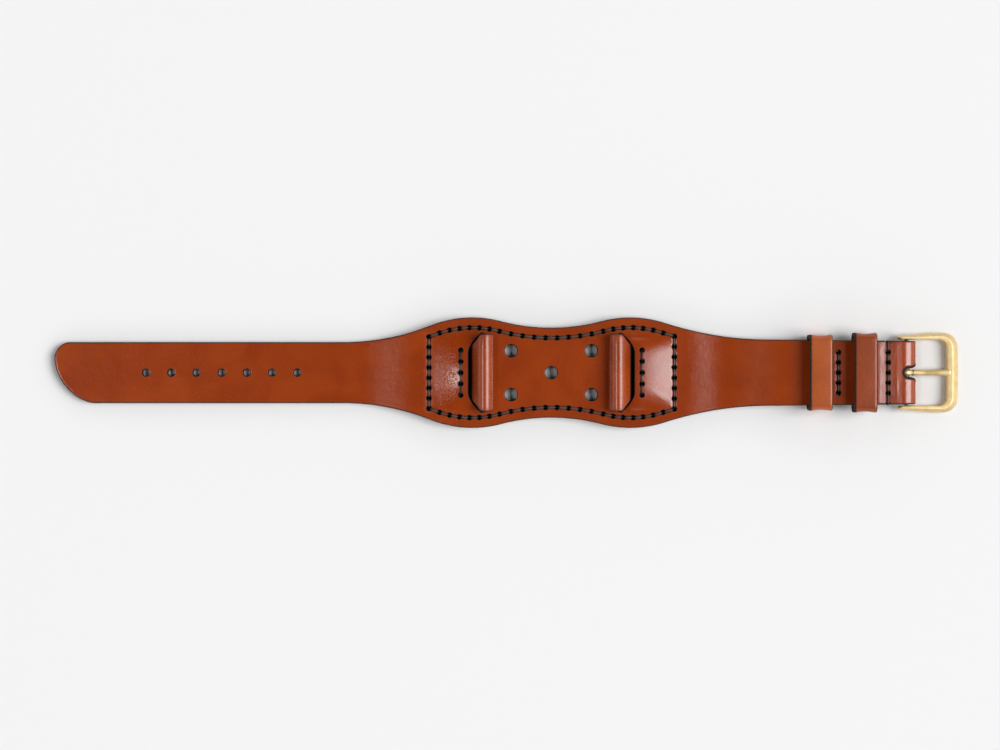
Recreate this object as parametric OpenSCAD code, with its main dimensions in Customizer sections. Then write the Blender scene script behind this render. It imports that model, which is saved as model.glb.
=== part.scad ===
// Leather watch strap, lying flat and open, with its lug loops, keepers and pin buckle.
// Millimetres. +X runs towards the buckle, +Y across the strap, +Z up from the wrist side.
// The origin is the middle of the pad, on the face that touches the wrist.

/* [Strap] */
// Thickness of the strap leather
strap_t = 2.6; // [2.4:0.1:3]
// Distance from the pad's middle to the tip of the tail
tail_reach = 136; // [128:1:146]
// Width of the tail
tail_w = 16.7; // [16:0.1:17.2]
// Height of the tail's foremost point above the middle line
tip_y = 4.1; // [1:0.1:5.5]
// Length of the tail's short upper corner
tip_short = 4; // [3:0.5:6]
// Length of the tail's long lower sweep
tip_long = 11.3; // [8:0.1:14]
// Width of the strap where it leaves the pad towards the buckle
root_w = 18.1; // [17.6:0.1:18.6]
// Width of the strap at the buckle
buckle_end_w = 17.3; // [16.8:0.1:17.5]

/* [Pad] */
// Width of the pad at its two widest places
lobe_w = 30.2; // [28:0.1:33]
// Distance from the middle to each widest place
lobe_x = 21.6; // [20:0.1:24]
// Radius of the pad's outline at its widest places
lobe_r = 31; // [26:1:36]
// Width of the pad at its middle
waist_w = 24.6; // [23:0.1:27]
// Distance from the middle to where the pad has narrowed to the tail
flare_tail = 57; // [53:1:60]
// Distance from the middle to where the pad has narrowed to the strap
flare_root = 60; // [55:1:62]
// Thickness of the lining under the pad
lining_t = 1.2; // [1.1:0.1:1.5]
// Half the length of the lining
lining_half = 36.2; // [35.6:0.1:36.6]
// Height that the leather is pushed up over the loop strips
swell = 1.7; // [1.2:0.1:1.8]

/* [Holes] */
// Diameter of the tongue holes
tongue_hole_d = 2; // [1.8:0.1:2.4]
// Distance from the middle to the first tongue hole
tongue_hole_x = 69.5; // [66:0.5:73]
// Spacing of the tongue holes
tongue_hole_pitch = 6.9; // [6:0.1:7.5]
// Number of tongue holes
tongue_holes = 7; // [5:1:7]
// Diameter of the vent holes
vent_d = 3.4; // [3:0.1:4]
// Distance of the four outer vents along the strap
vent_x = 11; // [9:0.5:12]
// Distance of the four outer vents across the strap
vent_y = 6; // [5:0.1:6.5]

/* [Stitching] */
// Diameter of the stitch holes
stitch_d = 1.3; // [1.25:0.05:1.4]
// Diameter of the thread
thread_d = 0.54; // [0.48:0.01:0.55]
// Distance from the pad's edge to its stitch line
stitch_inset = 2.8; // [2.6:0.1:3.2]
// Number of holes along each long side of the pad
side_holes = 24; // [22:1:25]
// Number of holes across each end of the pad
end_holes = 8; // [7:1:9]
// Number of holes in each short row
row_holes = 5; // [3:2:5]
// Hole spacing of the rows beside the lug loops
loop_row_pitch = 3.07; // [2.8:0.01:3.2]
// Hole spacing of the rows at the buckle end
end_row_pitch = 2.78; // [2.5:0.01:2.9]
// Distance from the middle to the row between the keepers
keeper_row_x = 78.3; // [78.1:0.1:78.5]
// Distance from the middle to the row beside the buckle
buckle_row_x = 91.9; // [91.8:0.1:92.1]

/* [Lug loops] */
// Diameter of the watch bar that each loop takes
lug_bar_d = 1.8; // [1.5:0.1:2]
// Thickness of the loop leather
loop_t = 1.2; // [1:0.1:1.3]
// Distance from the middle to each loop
loop_x = 18.2; // [17.8:0.1:18.4]
// Length of each loop along the bar
loop_len = 21.1; // [20:0.1:21.8]
// Width of the strip's sewn end
loop_tail_w = 16.6; // [15:0.1:17]
// Distance from the middle to the outer edge of each slot
slot_x = 22.6; // [22.5:0.1:23]
// Radius of each slot's outer corners
slot_r = 3.5; // [3:0.1:4]

/* [Keepers] */
// Width of the two keepers along the strap
keeper_w = 6.2; // [5.5:0.1:6.3]
// Thickness of the keeper leather
keeper_t = 1.4; // [1.2:0.1:1.5]
// Distance from the middle to the free keeper
free_keeper_x = 73.2; // [70:0.1:73.3]
// Distance from the middle to the fixed keeper
fixed_keeper_x = 85.3; // [85.1:0.1:85.4]
// Room at each side of the strap in the free keeper
free_slack = 0.05; // [0.05:0.05:0.5]
// Room at each side of the strap in the fixed keeper
fixed_slack = 0.8; // [0.4:0.1:1]
// Thickness of the free keeper's leather under the strap
free_under_t = 1.1; // [0.9:0.1:1.1]
// Thickness of the fixed keeper's leather in the fold
fixed_under_t = 0.8; // [0.6:0.1:0.8]
// Depth that each keeper's side is drawn in at its middle
keeper_curl = 0.35; // [0.2:0.05:0.4]
// Radius of the keepers' bends
keeper_bend_r = 2; // [1.6:0.1:2.4]

/* [Buckle] */
// Clear width between the buckle's arms
buckle_inner_w = 18; // [17.9:0.1:18.2]
// Overall width of the buckle
buckle_outer_w = 21.8; // [21.4:0.1:22.2]
// Distance from the bar to the front edge of the buckle
buckle_reach = 14.35; // [13.5:0.05:15]
// Length of each arm behind the bar
arm_back = 2.35; // [2:0.05:2.6]
// Width of the buckle's front bar
front_bar_w = 3.3; // [2.8:0.1:3.5]
// Thickness of the buckle's front bar
front_bar_t = 2.5; // [2.2:0.1:2.6]
// Thickness of the buckle's arms
arm_t = 2.3; // [2.1:0.1:2.5]
// Radius of the buckle's outer corners
corner_r = 4; // [3.5:0.1:4.5]
// Distance from the pad's middle to the bar
bar_x = 97.15; // [97:0.05:97.6]
// Width of the tongue
tongue_w = 1.57; // [1.4:0.01:1.8]
// Thickness of the tongue
tongue_t = 1.2; // [1:0.1:1.3]
// Outer radius of the tongue's rolled eye
tongue_eye_r = 1.7; // [1.6:0.05:1.75]
// Width of the slot for the tongue
tongue_slot_w = 2.5; // [2.3:0.1:2.8]

/* [Spring bar] */
// Diameter of the bar's tube
bar_d = 1.8; // [1.7:0.05:1.9]
// Half the length of the bar's tube
tube_half = 8.5; // [8.3:0.05:8.6]
// Diameter of the bar's sprung tips
bar_tip_d = 1; // [0.9:0.05:1.05]
// Depth of each tip's hole in the buckle's arm
tip_hole_depth = 1; // [0.8:0.05:1.05]
// Diameter of the spring's wire
wire_d = 0.2; // [0.16:0.01:0.24]
// Number of turns of the spring
spring_turns = 14; // [10:1:16]

/* [Fold] */
// Thickness of the folded-back end
flap_t = 1.2; // [1:0.1:1.2]
// Length of the folded-back end, from the bar to its cut edge
flap_len = 19.9; // [19.6:0.1:20.1]
// Height of the folded-back end above the table under the fixed keeper
flap_lift = 0.5; // [0.5:0.1:0.8]
// Running clearance between the bar and the pieces round it
bar_clearance = 0.05; // [0.02:0.01:0.08]

/* [Hidden] */

tan = [0.60, 0.25, 0.09];
keeper_tan = [0.66, 0.32, 0.15];
lining_tan = [0.72, 0.50, 0.32];
brass = [0.88, 0.74, 0.42];
steel = [0.75, 0.75, 0.77];
thread_grey = [0.38, 0.33, 0.27];

seat = 0.05;
clear = 0.1;
over = 1;
round_fn = 48;

// The fold: the strap's underside there carries the keeper's band and the folded-back end
root_z = flap_lift + flap_t + fixed_under_t + 2 * seat;
fold_r = (root_z + strap_t) / 2;
fold_end = bar_x + fold_r;
bar_z = fold_r;
bar_hole_r = bar_d / 2 + bar_clearance;
flap_x = bar_x - flap_len;
flap_z = root_z - 2 * seat - flap_t;
dip_start = fixed_keeper_x - keeper_w / 2 - 0.2;
dip_end = fixed_keeper_x + keeper_w / 2 + 0.5;
dip_run = 1.2;
drop_x = buckle_row_x + 0.9;

// Where the strap rises from the table to the pad, and from the pad to the buckle end
tail_flat = 52;
pad_flat = lining_half + 0.6;
root_flat = 66;
sag_x = pad_flat + 10;
sag_z = 0.4 * lining_t;
pad_top = lining_t + strap_t;

// Lug loops, their slots, and the pocket that holds each strip's sewn end
loop_bore_r = lug_bar_d / 2 + clear;
loop_r = loop_bore_r + loop_t;
loop_z = pad_top + clear + loop_r;
slot_in = loop_x + clear;
slot_gap = 0.15;
slot_len = loop_len + 2 * slot_gap;
pocket_h = swell + 0.2;
pocket_low = 0.5;
pocket_bend = slot_x + 0.8;
strip_end = lining_half - 4.2;

// The swelling over each strip
swell_end = lining_half - 3.2;
swell_hw = 10.2;
swell_sink = 0.04;

// Stitching
loop_row_x = slot_x + 2.1;
corner_x = lining_half - 1.8;
thread_r = thread_d / 2;
lie = 0.02;
top_groove = 0.3;
under_groove = thread_d + 0.09;
edge_groove = 0.35;
thread_shift = stitch_d / 4 - 0.015;
groove_w = 2 * (thread_shift + thread_r) + 0.1;
corner_shift = 1.16;
corner_trim = 0.05;
thread_bend = 0.3;
edge_bend = 0.14;
thread_sides = 6;

// Keepers
tail_room = strap_t + 0.4;
free_top = root_z + strap_t + tail_room + keeper_t;
free_span = root_w + 2 * (free_slack + keeper_t);
fixed_span = 2 * (half_w(fixed_keeper_x) + fixed_slack + keeper_t);
fixed_bottom = root_z - seat - fixed_under_t;

// Buckle
frame_tilt = asin((bar_z - front_bar_t / 2 - 0.03) / (buckle_reach - front_bar_w / 2));
arm_end_w = 1.35;
tip_hole_r = bar_tip_d / 2 + bar_clearance;
tongue_reach = buckle_reach - front_bar_w * 0.62;
slot_end_x = bar_x - tongue_t / 2 - 0.15;

// Spring bar
lip = 0.45;
tip_end = buckle_inner_w / 2 + tip_hole_depth - seat;
head_r = bar_tip_d / 2 + 0.12;
head_end = tube_half - lip - seat;
head_len = 0.9;
spring_half = head_end - head_len - seat;
spring_r = head_r - 0.22;

// Helper shapes and functions

// Smooth step from 0 to 1
function smooth(t) = let (u = min(max(t, 0), 1)) u * u * (3 - 2 * u);

function span(a, b, steps) = [for (i = [0:steps]) a + (b - a) * i / steps];

function reversed(v) = [for (i = [len(v) - 1:-1:0]) v[i]];

function mirror_y(v) = [for (p = v) [p.x, -p.y]];

function unit(v) = v / norm(v);

function bezier(a, b, c, d, t) =
    pow(1 - t, 3) * a + 3 * t * pow(1 - t, 2) * b + 3 * t * t * (1 - t) * c + t * t * t * d;

function curve(a, b, c, d, steps) = [for (i = [0:steps]) bezier(a, b, c, d, i / steps)];

// Half-width at a distance u from a crest, over a run du, by one convex and one concave arc
function arcs(u, du, top, low, r) =
    let (
        s = (du * du + (top - low) * (top - low)) / (2 * (top - low)),
        r2 = s - r,
        turn = du * r / s
    )
    u <= turn
        ? top - r + sqrt(r * r - u * u)
        : low + r2 - sqrt(r2 * r2 - (du - u) * (du - u));

// Half-width of the strap along its length
function half_w(x) =
    x <= -flare_tail ? tail_w / 2
    : x < -lobe_x ? arcs(-lobe_x - x, flare_tail - lobe_x, lobe_w / 2, tail_w / 2, lobe_r)
    : x < lobe_x ? arcs(lobe_x - abs(x), lobe_x, lobe_w / 2, waist_w / 2, lobe_r)
    : x < flare_root ? arcs(x - lobe_x, flare_root - lobe_x, lobe_w / 2, root_w / 2, lobe_r)
    : root_w / 2 + (buckle_end_w - root_w) / 2 * (x - flare_root) / (fold_end - flare_root);

// Underside of the strap
function under_z(x) =
    x < 0 ? lining_t * smooth((x + tail_flat) / (tail_flat - pad_flat))
    : x < sag_x ? lining_t + (sag_z - lining_t) * smooth((x - pad_flat) / (sag_x - pad_flat))
    : sag_z + (root_z - sag_z) * smooth((x - sag_x) / (root_flat - sag_x));

// Swelling over a loop strip: full at the slot's edge, none at its border
function swelling(x, y) =
    swell * smooth((abs(x) - slot_in) / (slot_x - slot_in))
          * smooth((swell_end - abs(x)) / (swell_end - slot_x))
          * (1 - pow(min(abs(y) / swell_hw, 1), 4));

// Upper face of the strap
function top_z(x, y) = under_z(x) + strap_t + swelling(x, y);

// Underside of the folded-back end, which dips under the fixed keeper's band
function flap_under(x) =
    flap_z - fixed_under_t * smooth((x - dip_start + dip_run) / dip_run)
                           * smooth((dip_end + dip_run - x) / dip_run);

// Shape drawn in X and Z, given a width across the strap
module across_strap(w) {
    translate([0, w / 2, 0])
        rotate([90, 0, 0])
            linear_extrude(w)
                children();
}

// Shape drawn in Y and Z, given a length along the strap
module along_strap(x, w) {
    translate([x - w / 2, 0, 0])
        rotate([90, 0, 90])
            linear_extrude(w)
                children();
}

// Round rod or hole across the strap
module rod_y(x, z, r, len, y = 0) {
    translate([x, y + len / 2, z])
        rotate([90, 0, 0])
            cylinder(r = r, h = len, $fn = round_fn);
}

// Rounded rectangle of straight sides and true arcs, centred
module soft_square(w, h, r) {
    square([w - 2 * r, h], center = true);
    square([w, h - 2 * r], center = true);
    for (sx = [-1, 1])
        for (sy = [-1, 1])
            translate([sx * (w / 2 - r), sy * (h / 2 - r)])
                circle(r, $fn = round_fn);
}

// D shape: square inner end at x0, rounded corners at its outer end x1
module d_shape(x0, x1, len, r) {
    intersection() {
        translate([x0, -len / 2])
            square([x1 - x0, len]);
        translate([x1 - len / 2, 0])
            soft_square(len, len, r);
    }
}

// Skin of a tube whose rings all have the same number of points
module tube_skin(rings, closed = false) {
    n = len(rings);
    m = len(rings[0]);
    last = closed ? n - 1 : n - 2;
    sides = [for (i = [0:last]) for (j = [0:m - 1])
        let (a = i * m, b = ((i + 1) % n) * m, k = (j + 1) % m)
        [[a + j, b + j, b + k], [a + j, b + k, a + k]]];
    caps = closed ? [] : [[for (j = [0:m - 1]) j], [for (j = [m - 1:-1:0]) (n - 1) * m + j]];
    polyhedron(
        points = [for (r = rings) for (p = r) p],
        faces = concat([for (s = sides) for (f = s) f], caps),
        convexity = 10
    );
}

// Strap leather

// Outline of the strap seen from above
module strap_outline() {
    k = 0.485;
    upper = [for (x = concat([fold_end], span(flare_root, -flare_tail, 58))) [x, half_w(x)]];
    tip = [-tail_reach, tip_y];
    up_end = [tip_short - tail_reach, tail_w / 2];
    low_end = [tip_long - tail_reach, -tail_w / 2];
    corner = curve(up_end, up_end - [k * tip_short, 0],
                   tip + [0, k * (up_end.y - tip_y)], tip, 8);
    sweep = curve(tip, tip - [0, k * (tip_y - low_end.y)],
                  low_end - [k * tip_long, 0], low_end, 14);
    polygon(concat(upper, corner, [for (i = [1:14]) sweep[i]], reversed(mirror_y(upper))));
}

// Side view of the long band
module band_side() {
    xs = concat([-tail_reach - over], span(-tail_flat, -pad_flat, 8),
                span(pad_flat, sag_x, 7), [for (i = [1:12]) sag_x + (root_flat - sag_x) * i / 12],
                [bar_x]);
    polygon(concat(
        [for (x = xs) [x, under_z(x) + strap_t]],
        reversed([for (x = xs) [x, under_z(x)]])
    ));
}

// Side view of the end that is folded back round the bar
module fold_side() {
    xs = concat([flap_x], span(dip_start - dip_run, dip_start, 5),
                span(dip_end, dip_end + dip_run, 5), [drop_x]);
    drop = curve([drop_x, flap_z], [drop_x + 1.3, flap_z], [drop_x + 1.3, 0], [bar_x, 0], 9);
    difference() {
        union() {
            polygon(concat(
                [for (x = xs) [x, flap_under(x)]],
                [for (i = [1:9]) drop[i]],
                [[bar_x, root_z + clear], [drop_x, root_z + clear]],
                reversed([for (x = xs) [x, flap_under(x) + flap_t]])
            ));
            translate([bar_x, bar_z])
                circle(fold_r, $fn = 2 * round_fn);
        }
        translate([bar_x, bar_z])
            circle(bar_hole_r, $fn = round_fn);
    }
}

// Smooth swelling laid on the strap over one loop strip
module swelling_skin(side) {
    nx = 11;
    ny = 12;
    w = ny + 1;
    n = (nx + 1) * w;
    xs = span(slot_in, swell_end, nx);
    ys = span(-swell_hw, swell_hw, ny);
    top = [for (x = xs) for (y = ys)
        [side * x, side * y, pad_top - swell_sink + swelling(x, y)]];
    base = [for (p = top) [p.x, p.y, pad_top - 0.6]];
    rim = concat(
        [for (j = [0:ny - 1]) j],
        [for (i = [0:nx - 1]) i * w + ny],
        [for (j = [ny:-1:1]) nx * w + j],
        [for (i = [nx:-1:1]) i * w]
    );
    cells = [for (i = [0:nx - 1]) for (j = [0:ny - 1]) i * w + j];
    polyhedron(
        points = concat(top, base),
        faces = concat(
            [for (c = cells) [c, c + 1, c + w + 1]],
            [for (c = cells) [c, c + w + 1, c + w]],
            [for (i = [0:len(rim) - 1]) let (a = rim[i], b = rim[(i + 1) % len(rim)])
                [a, n + a, n + b, b]],
            [reversed([for (r = rim) n + r])]
        ),
        convexity = 6
    );
}

// Pocket under the leather for one strip's sewn end, seen from the side, with a margin
module pocket_side(m, x0, z0) {
    polygon([
        [x0, z0],
        [strip_end + m, z0],
        [strip_end + m, lining_t + pocket_low - seat + m],
        [pocket_bend, lining_t + pocket_h - seat + m],
        [x0, lining_t + pocket_h - seat + m]
    ]);
}

module stitch_hole(p) {
    translate([p.x, p.y, -over])
        cylinder(r = stitch_d / 2, h = 12, $fn = 24);
}

module vents() {
    for (p = concat([[0, 0]], [for (sx = [-1, 1]) for (sy = [-1, 1]) [sx * vent_x, sy * vent_y]]))
        translate([p.x, p.y, -over])
            cylinder(d = vent_d, h = 12, $fn = round_fn);
}

// Slot for the tongue, flared at its mouth, and the room for the tongue's eye
module tongue_slot() {
    long = 12;
    translate([0, 0, -over])
        linear_extrude(12) {
            translate([slot_end_x + long / 2, 0])
                soft_square(long, tongue_slot_w, 0.7);
            polygon([
                [bar_x + 0.8, tongue_slot_w / 2],
                [fold_end + over, tongue_slot_w / 2 + 0.7],
                [fold_end + over, -tongue_slot_w / 2 - 0.7],
                [bar_x + 0.8, -tongue_slot_w / 2]
            ]);
        }
    rod_y(bar_x, bar_z, tongue_eye_r + 2 * clear, tongue_slot_w);
}

// Groove under the ring of stitches round the pad
module ring_groove(z, h) {
    translate([0, 0, z])
        linear_extrude(h)
            difference() {
                polygon(ring_moved(groove_w / 2));
                polygon(ring_moved(-groove_w / 2));
            }
}

module main_strap() {
    color(tan)
        difference() {
            union() {
                intersection() {
                    across_strap(lobe_w + 4)
                        union() {
                            band_side();
                            fold_side();
                        }
                    translate([0, 0, -over])
                        linear_extrude(12)
                            strap_outline();
                }
                swelling_skin(1);
                swelling_skin(-1);
            }
            // the bar's hole, the tongue's slot and the seven tongue holes
            rod_y(bar_x, bar_z, bar_hole_r, buckle_end_w + 4);
            tongue_slot();
            for (i = [0:tongue_holes - 1])
                translate([-tongue_hole_x - i * tongue_hole_pitch, 0, -over])
                    cylinder(d = tongue_hole_d, h = 12, $fn = round_fn);
            vents();
            // slots and pockets of the two loops
            for (s = [0, 1])
                mirror([s, 0, 0]) {
                    translate([0, 0, lining_t - over])
                        linear_extrude(12)
                            d_shape(slot_in, slot_x, slot_len, slot_r);
                    across_strap(loop_tail_w + 2 * clear)
                        pocket_side(seat, slot_in, lining_t - over);
                }
            // stitch holes and the grooves that the thread lies in
            for (p = concat(ring_points, row(loop_row_x, loop_row_pitch),
                            row(-loop_row_x, loop_row_pitch), row(keeper_row_x, end_row_pitch),
                            row(buckle_row_x, end_row_pitch)))
                stitch_hole(p);
            ring_groove(pad_top - top_groove, 4);
            for (x = [keeper_row_x, buckle_row_x]) {
                w = x == buckle_row_x ? lobe_w : (row_holes - 1) * end_row_pitch + stitch_d;
                translate([x - groove_w / 2, -w / 2, root_z + strap_t - top_groove])
                    cube([groove_w, w, 4]);
                translate([x - groove_w / 2, -w / 2, flap_z - 4])
                    cube([groove_w, w, 4 + under_groove]);
            }
            for (s = [-1, 1])
                translate([buckle_row_x, s * (half_w(buckle_row_x) + 2 - edge_groove), root_z])
                    cube([groove_w, 4, 12], center = true);
        }
}

module pad_lining() {
    xs = span(lining_half, -lining_half, 36);
    upper = [for (x = xs) [x, half_w(x)]];
    color(lining_tan)
        difference() {
            linear_extrude(lining_t)
                polygon(concat(upper, reversed(mirror_y(upper))));
            vents();
            for (p = concat(ring_points, row(loop_row_x, loop_row_pitch),
                            row(-loop_row_x, loop_row_pitch)))
                stitch_hole(p);
            ring_groove(-over, over + under_groove);
            for (s = [-1, 1])
                translate([s * loop_row_x, 0, 0])
                    cube([groove_w, (row_holes - 1) * loop_row_pitch + stitch_d,
                          2 * under_groove], center = true);
        }
}

// Lug loops

// Side view of one strip: the tube round the watch's bar, the neck, the sewn end
module strip_side() {
    centre = [loop_x, loop_z];
    neck_end = slot_x - slot_gap;
    low = lining_t + seat;
    high = lining_t + pocket_h - seat;
    tube = [for (t = [270:-10:30]) centre + loop_r * [cos(t), sin(t)]];
    outer = curve(centre + loop_r * [cos(30), sin(30)],
                  centre + loop_r * [cos(30), sin(30)] + 2 * [sin(30), -cos(30)],
                  [slot_x - 1.2, high + 0.6], [neck_end, high], 8);
    inner = curve([slot_x - 1, low], [slot_x - 2.6, low],
                  [loop_x + 1.2, loop_z - loop_r], [loop_x, loop_z - loop_r], 8);
    polygon(concat(tube, [for (i = [1:8]) outer[i]],
                   [[pocket_bend, high], [strip_end, lining_t + pocket_low - seat],
                    [strip_end, low]],
                   [for (i = [0:7]) inner[i]]));
}

module lug_loop(side) {
    neck_end = slot_x - slot_gap;
    color(tan)
        mirror([side < 0 ? 1 : 0, 0, 0])
            difference() {
                intersection() {
                    across_strap(loop_len + 2)
                        strip_side();
                    linear_extrude(12)
                        union() {
                            translate([loop_x - loop_r - 1, -loop_len / 2])
                                square([loop_r + 1.2, loop_len]);
                            d_shape(slot_in, neck_end, loop_len, slot_r - slot_gap);
                            translate([neck_end - seat, -loop_tail_w / 2])
                                square([strip_end + 1 - neck_end, loop_tail_w]);
                        }
                }
                rod_y(loop_x, loop_z, loop_bore_r, loop_len + 2);
                for (p = row(loop_row_x, loop_row_pitch))
                    stitch_hole(p);
            }
}

module left_lug_loop() {
    lug_loop(-1);
}

module right_lug_loop() {
    lug_loop(1);
}

// Keepers

// One leather band round the strap, with both sides drawn in at the middle
module keeper(x, outer, bottom, top, under_t) {
    r = (keeper_w * keeper_w / 4 + keeper_curl * keeper_curl) / (2 * keeper_curl);
    h = top - bottom;
    inner_h = h - keeper_t - under_t;
    color(keeper_tan)
        difference() {
            along_strap(x, keeper_w)
                difference() {
                    translate([0, bottom + h / 2])
                        soft_square(outer, h, keeper_bend_r);
                    translate([0, bottom + under_t + inner_h / 2])
                        soft_square(outer - 2 * keeper_t, inner_h, min(keeper_bend_r - keeper_t, 0.6));
                }
            for (s = [-1, 1])
                translate([x, s * (outer / 2 - keeper_curl - 0.03 + r), bottom - over])
                    cylinder(r = r, h = h + 2 * over, $fn = 2 * round_fn);
        }
}

module free_keeper() {
    keeper(free_keeper_x, free_span, 0, free_top, free_under_t);
}

module fixed_keeper() {
    keeper(fixed_keeper_x, fixed_span, fixed_bottom, free_top + 0.2, fixed_under_t);
}

// Saddle stitching

// Inset point of the pad's upper side
function inset_point(x, d) =
    let (slope = (half_w(x + 0.1) - half_w(x - 0.1)) / 0.2, n = sqrt(1 + slope * slope))
    [x + d * slope / n, half_w(x) - d / n];

// Hole centres of the closed ring round the pad, clockwise from its upper left corner
side_points = [for (x = span(-corner_x, corner_x, side_holes - 1)) inset_point(x, stitch_inset)];
function end_points(p) = [for (i = [1:end_holes - 2]) [p.x, p.y * (1 - 2 * i / (end_holes - 1))]];
ring_points = concat(
    side_points,
    end_points(side_points[side_holes - 1]),
    reversed(mirror_y(side_points)),
    reversed(end_points(side_points[0]))
);

// Direction square to the ring at one hole
function ring_normal(i) =
    let (
        n = len(ring_points),
        d = unit(ring_points[(i + 1) % n] - ring_points[(i + n - 1) % n])
    )
    [-d.y, d.x];

function ring_moved(d) = [for (i = [0:len(ring_points) - 1]) ring_points[i] + d * ring_normal(i)];

// Place of a thread beside the ring's line, a little wider where the ring turns a corner
function beside(i, side) =
    let (
        n = len(ring_points),
        a = unit(ring_points[i] - ring_points[(i + n - 1) % n]),
        b = unit(ring_points[(i + 1) % n] - ring_points[i])
    )
    ring_points[i] + side * thread_shift * (a * b < 0.5 ? corner_shift : 1) * ring_normal(i);

// Hole centres of a row across the strap
function row(x, pitch) = [for (i = [0:row_holes - 1]) [x, (i - (row_holes - 1) / 2) * pitch]];

// Direction in the upright plane through d, at angle a above the table
function heading(d, a) = [d.x * cos(a), d.y * cos(a), sin(a)];

// One ring of thread, square to its heading, stretched by m where the thread is mitred
function thread_ring(c, d, a, m = 1) =
    [for (j = [0:thread_sides - 1])
        let (t = (j + 0.5) * 360 / thread_sides)
        c + thread_r * (cos(t) * [-d.y, d.x, 0] + m * sin(t) * heading(d, a + 90))];

// The thread turns from angle a to angle b: one mitred ring, or two where the bend shows
function thread_turn(c, d, a, b, bend = 0) =
    bend == 0
        ? [thread_ring(c, d, (a + b) / 2, 1 / cos((b - a) / 2))]
        : [thread_ring(c - bend * heading(d, a), d, a + (b - a) / 4, 1 / cos((b - a) / 4)),
           thread_ring(c + bend * heading(d, b), d, b - (b - a) / 4, 1 / cos((b - a) / 4))];

// A stitch on top from hole p to hole q, and one underneath
function stitch_over(p, q, zp, zq) =
    let (d = unit(q - p))
    concat(thread_turn([p.x, p.y, zp], d, 90, 0, thread_bend),
           thread_turn([q.x, q.y, zq], d, 0, -90, thread_bend));

function stitch_under(p, q, z) =
    let (d = unit(q - p))
    concat(thread_turn([p.x, p.y, z], d, -90, 0),
           thread_turn([q.x - corner_trim * d.x, q.y - corner_trim * d.y, z], d, 0, 90));

// Thread round the pad: each of the two goes over every second gap and under the others
module ring_thread(first) {
    n = len(ring_points);
    zt = pad_top - top_groove + thread_r + lie;
    zb = under_groove - thread_r - lie;
    tube_skin([for (i = [first:2:first + n - 2])
        let (
            p = beside(i, -1),
            q = beside((i + 1) % n, 1),
            r = beside((i + 2) % n, -1)
        )
        for (s = concat(stitch_over(p, q, zt, zt), stitch_under(q, r, zb))) s
    ], closed = true);
}

module pad_stitching() {
    color(thread_grey) {
        ring_thread(0);
        ring_thread(1);
    }
}

// Two threads of one row across the strap; with wrap they also go round both edges of the strap
module row_threads(x, pitch, zt, zb, wrap = 0) {
    pts = row(x, pitch);
    n = len(pts);
    d = [0, 1];
    out = [thread_shift, 0];
    a = [for (i = [0:n - 1]) pts[i] + (i % 2 == 0 ? out : -out)];
    b = [for (i = [0:n - 1]) pts[i] + (i % 2 == 0 ? -out : out)];
    e = n - 1;
    deep = zt[0] - 1.2;
    first_a = [thread_ring([a[0].x, a[0].y, zb], d, 90)];
    first_b = wrap == 0
        ? [thread_ring([b[0].x, b[0].y, deep], d, -90)]
        : concat(
            [thread_ring([b[0].x, b[0].y - 0.5, zb], d, 180)],
            thread_turn([b[0].x, -wrap, zb], d, 180, 90, edge_bend),
            thread_turn([b[0].x, -wrap, zt[0]], d, 90, 0, edge_bend),
            thread_turn([b[0].x, b[0].y, zt[0]], d, 0, -90, thread_bend));
    last_a = wrap == 0
        ? [thread_ring([a[e].x, a[e].y, deep], d, 90)]
        : concat(
            thread_turn([a[e].x, a[e].y, zt[e]], d, 90, 0, thread_bend),
            thread_turn([a[e].x, wrap, zt[e]], d, 0, -90, edge_bend),
            thread_turn([a[e].x, wrap, zb], d, -90, -180, edge_bend),
            [thread_ring([a[e].x, a[e].y + 0.5, zb], d, -180)]);
    last_b = [thread_ring([b[e].x, b[e].y, zb], d, -90)];
    tube_skin(concat(first_a,
        [for (i = [0:2:n - 3])
            for (s = concat(stitch_over(a[i], a[i + 1], zt[i], zt[i + 1]),
                            stitch_under(a[i + 1], a[i + 2], zb))) s],
        last_a));
    tube_skin(concat(first_b,
        [for (i = [0:2:n - 3])
            for (s = concat(stitch_under(b[i], b[i + 1], zb),
                            stitch_over(b[i + 1], b[i + 2], zt[i + 1], zt[i + 2]))) s],
        last_b));
}

module loop_stitching(side) {
    x = side * loop_row_x;
    color(thread_grey)
        row_threads(x, loop_row_pitch,
            [for (p = row(x, loop_row_pitch)) top_z(p.x, p.y) + thread_r + lie],
            under_groove - thread_r - lie);
}

module left_loop_stitching() {
    loop_stitching(-1);
}

module right_loop_stitching() {
    loop_stitching(1);
}

// Heights of the thread over and under the strap at the buckle end
end_over = [for (i = [1:row_holes]) root_z + strap_t - top_groove + thread_r + lie];
end_under = flap_z + under_groove - thread_r - lie;

module keeper_stitching() {
    color(thread_grey)
        row_threads(keeper_row_x, end_row_pitch, end_over, end_under);
}

module buckle_stitching() {
    color(thread_grey)
        row_threads(buckle_row_x, end_row_pitch, end_over, end_under,
            half_w(buckle_row_x) - edge_groove + thread_r + lie);
}

// Buckle

// Soft-cornered ring between an inner and an outer point, with half-thickness h
function metal_ring(a, b, h, sides) =
    [for (j = [0:sides - 1])
        let (
            t = (j + 0.5) * 360 / sides,
            u = sign(cos(t)) * pow(abs(cos(t)), 0.7),
            v = sign(sin(t)) * pow(abs(sin(t)), 0.7),
            m = (a + b) / 2 + u * (b - a) / 2
        )
        [m.x, m.y, v * h]];

// Outer edge of an arm: drawn in at its end, fullest beside the corner
function arm_out(x) =
    let (full = buckle_outer_w / 2, slim = buckle_inner_w / 2 + arm_end_w)
    slim + (full - slim) * sin(90 * smooth(x / (buckle_reach - corner_r)));

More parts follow.
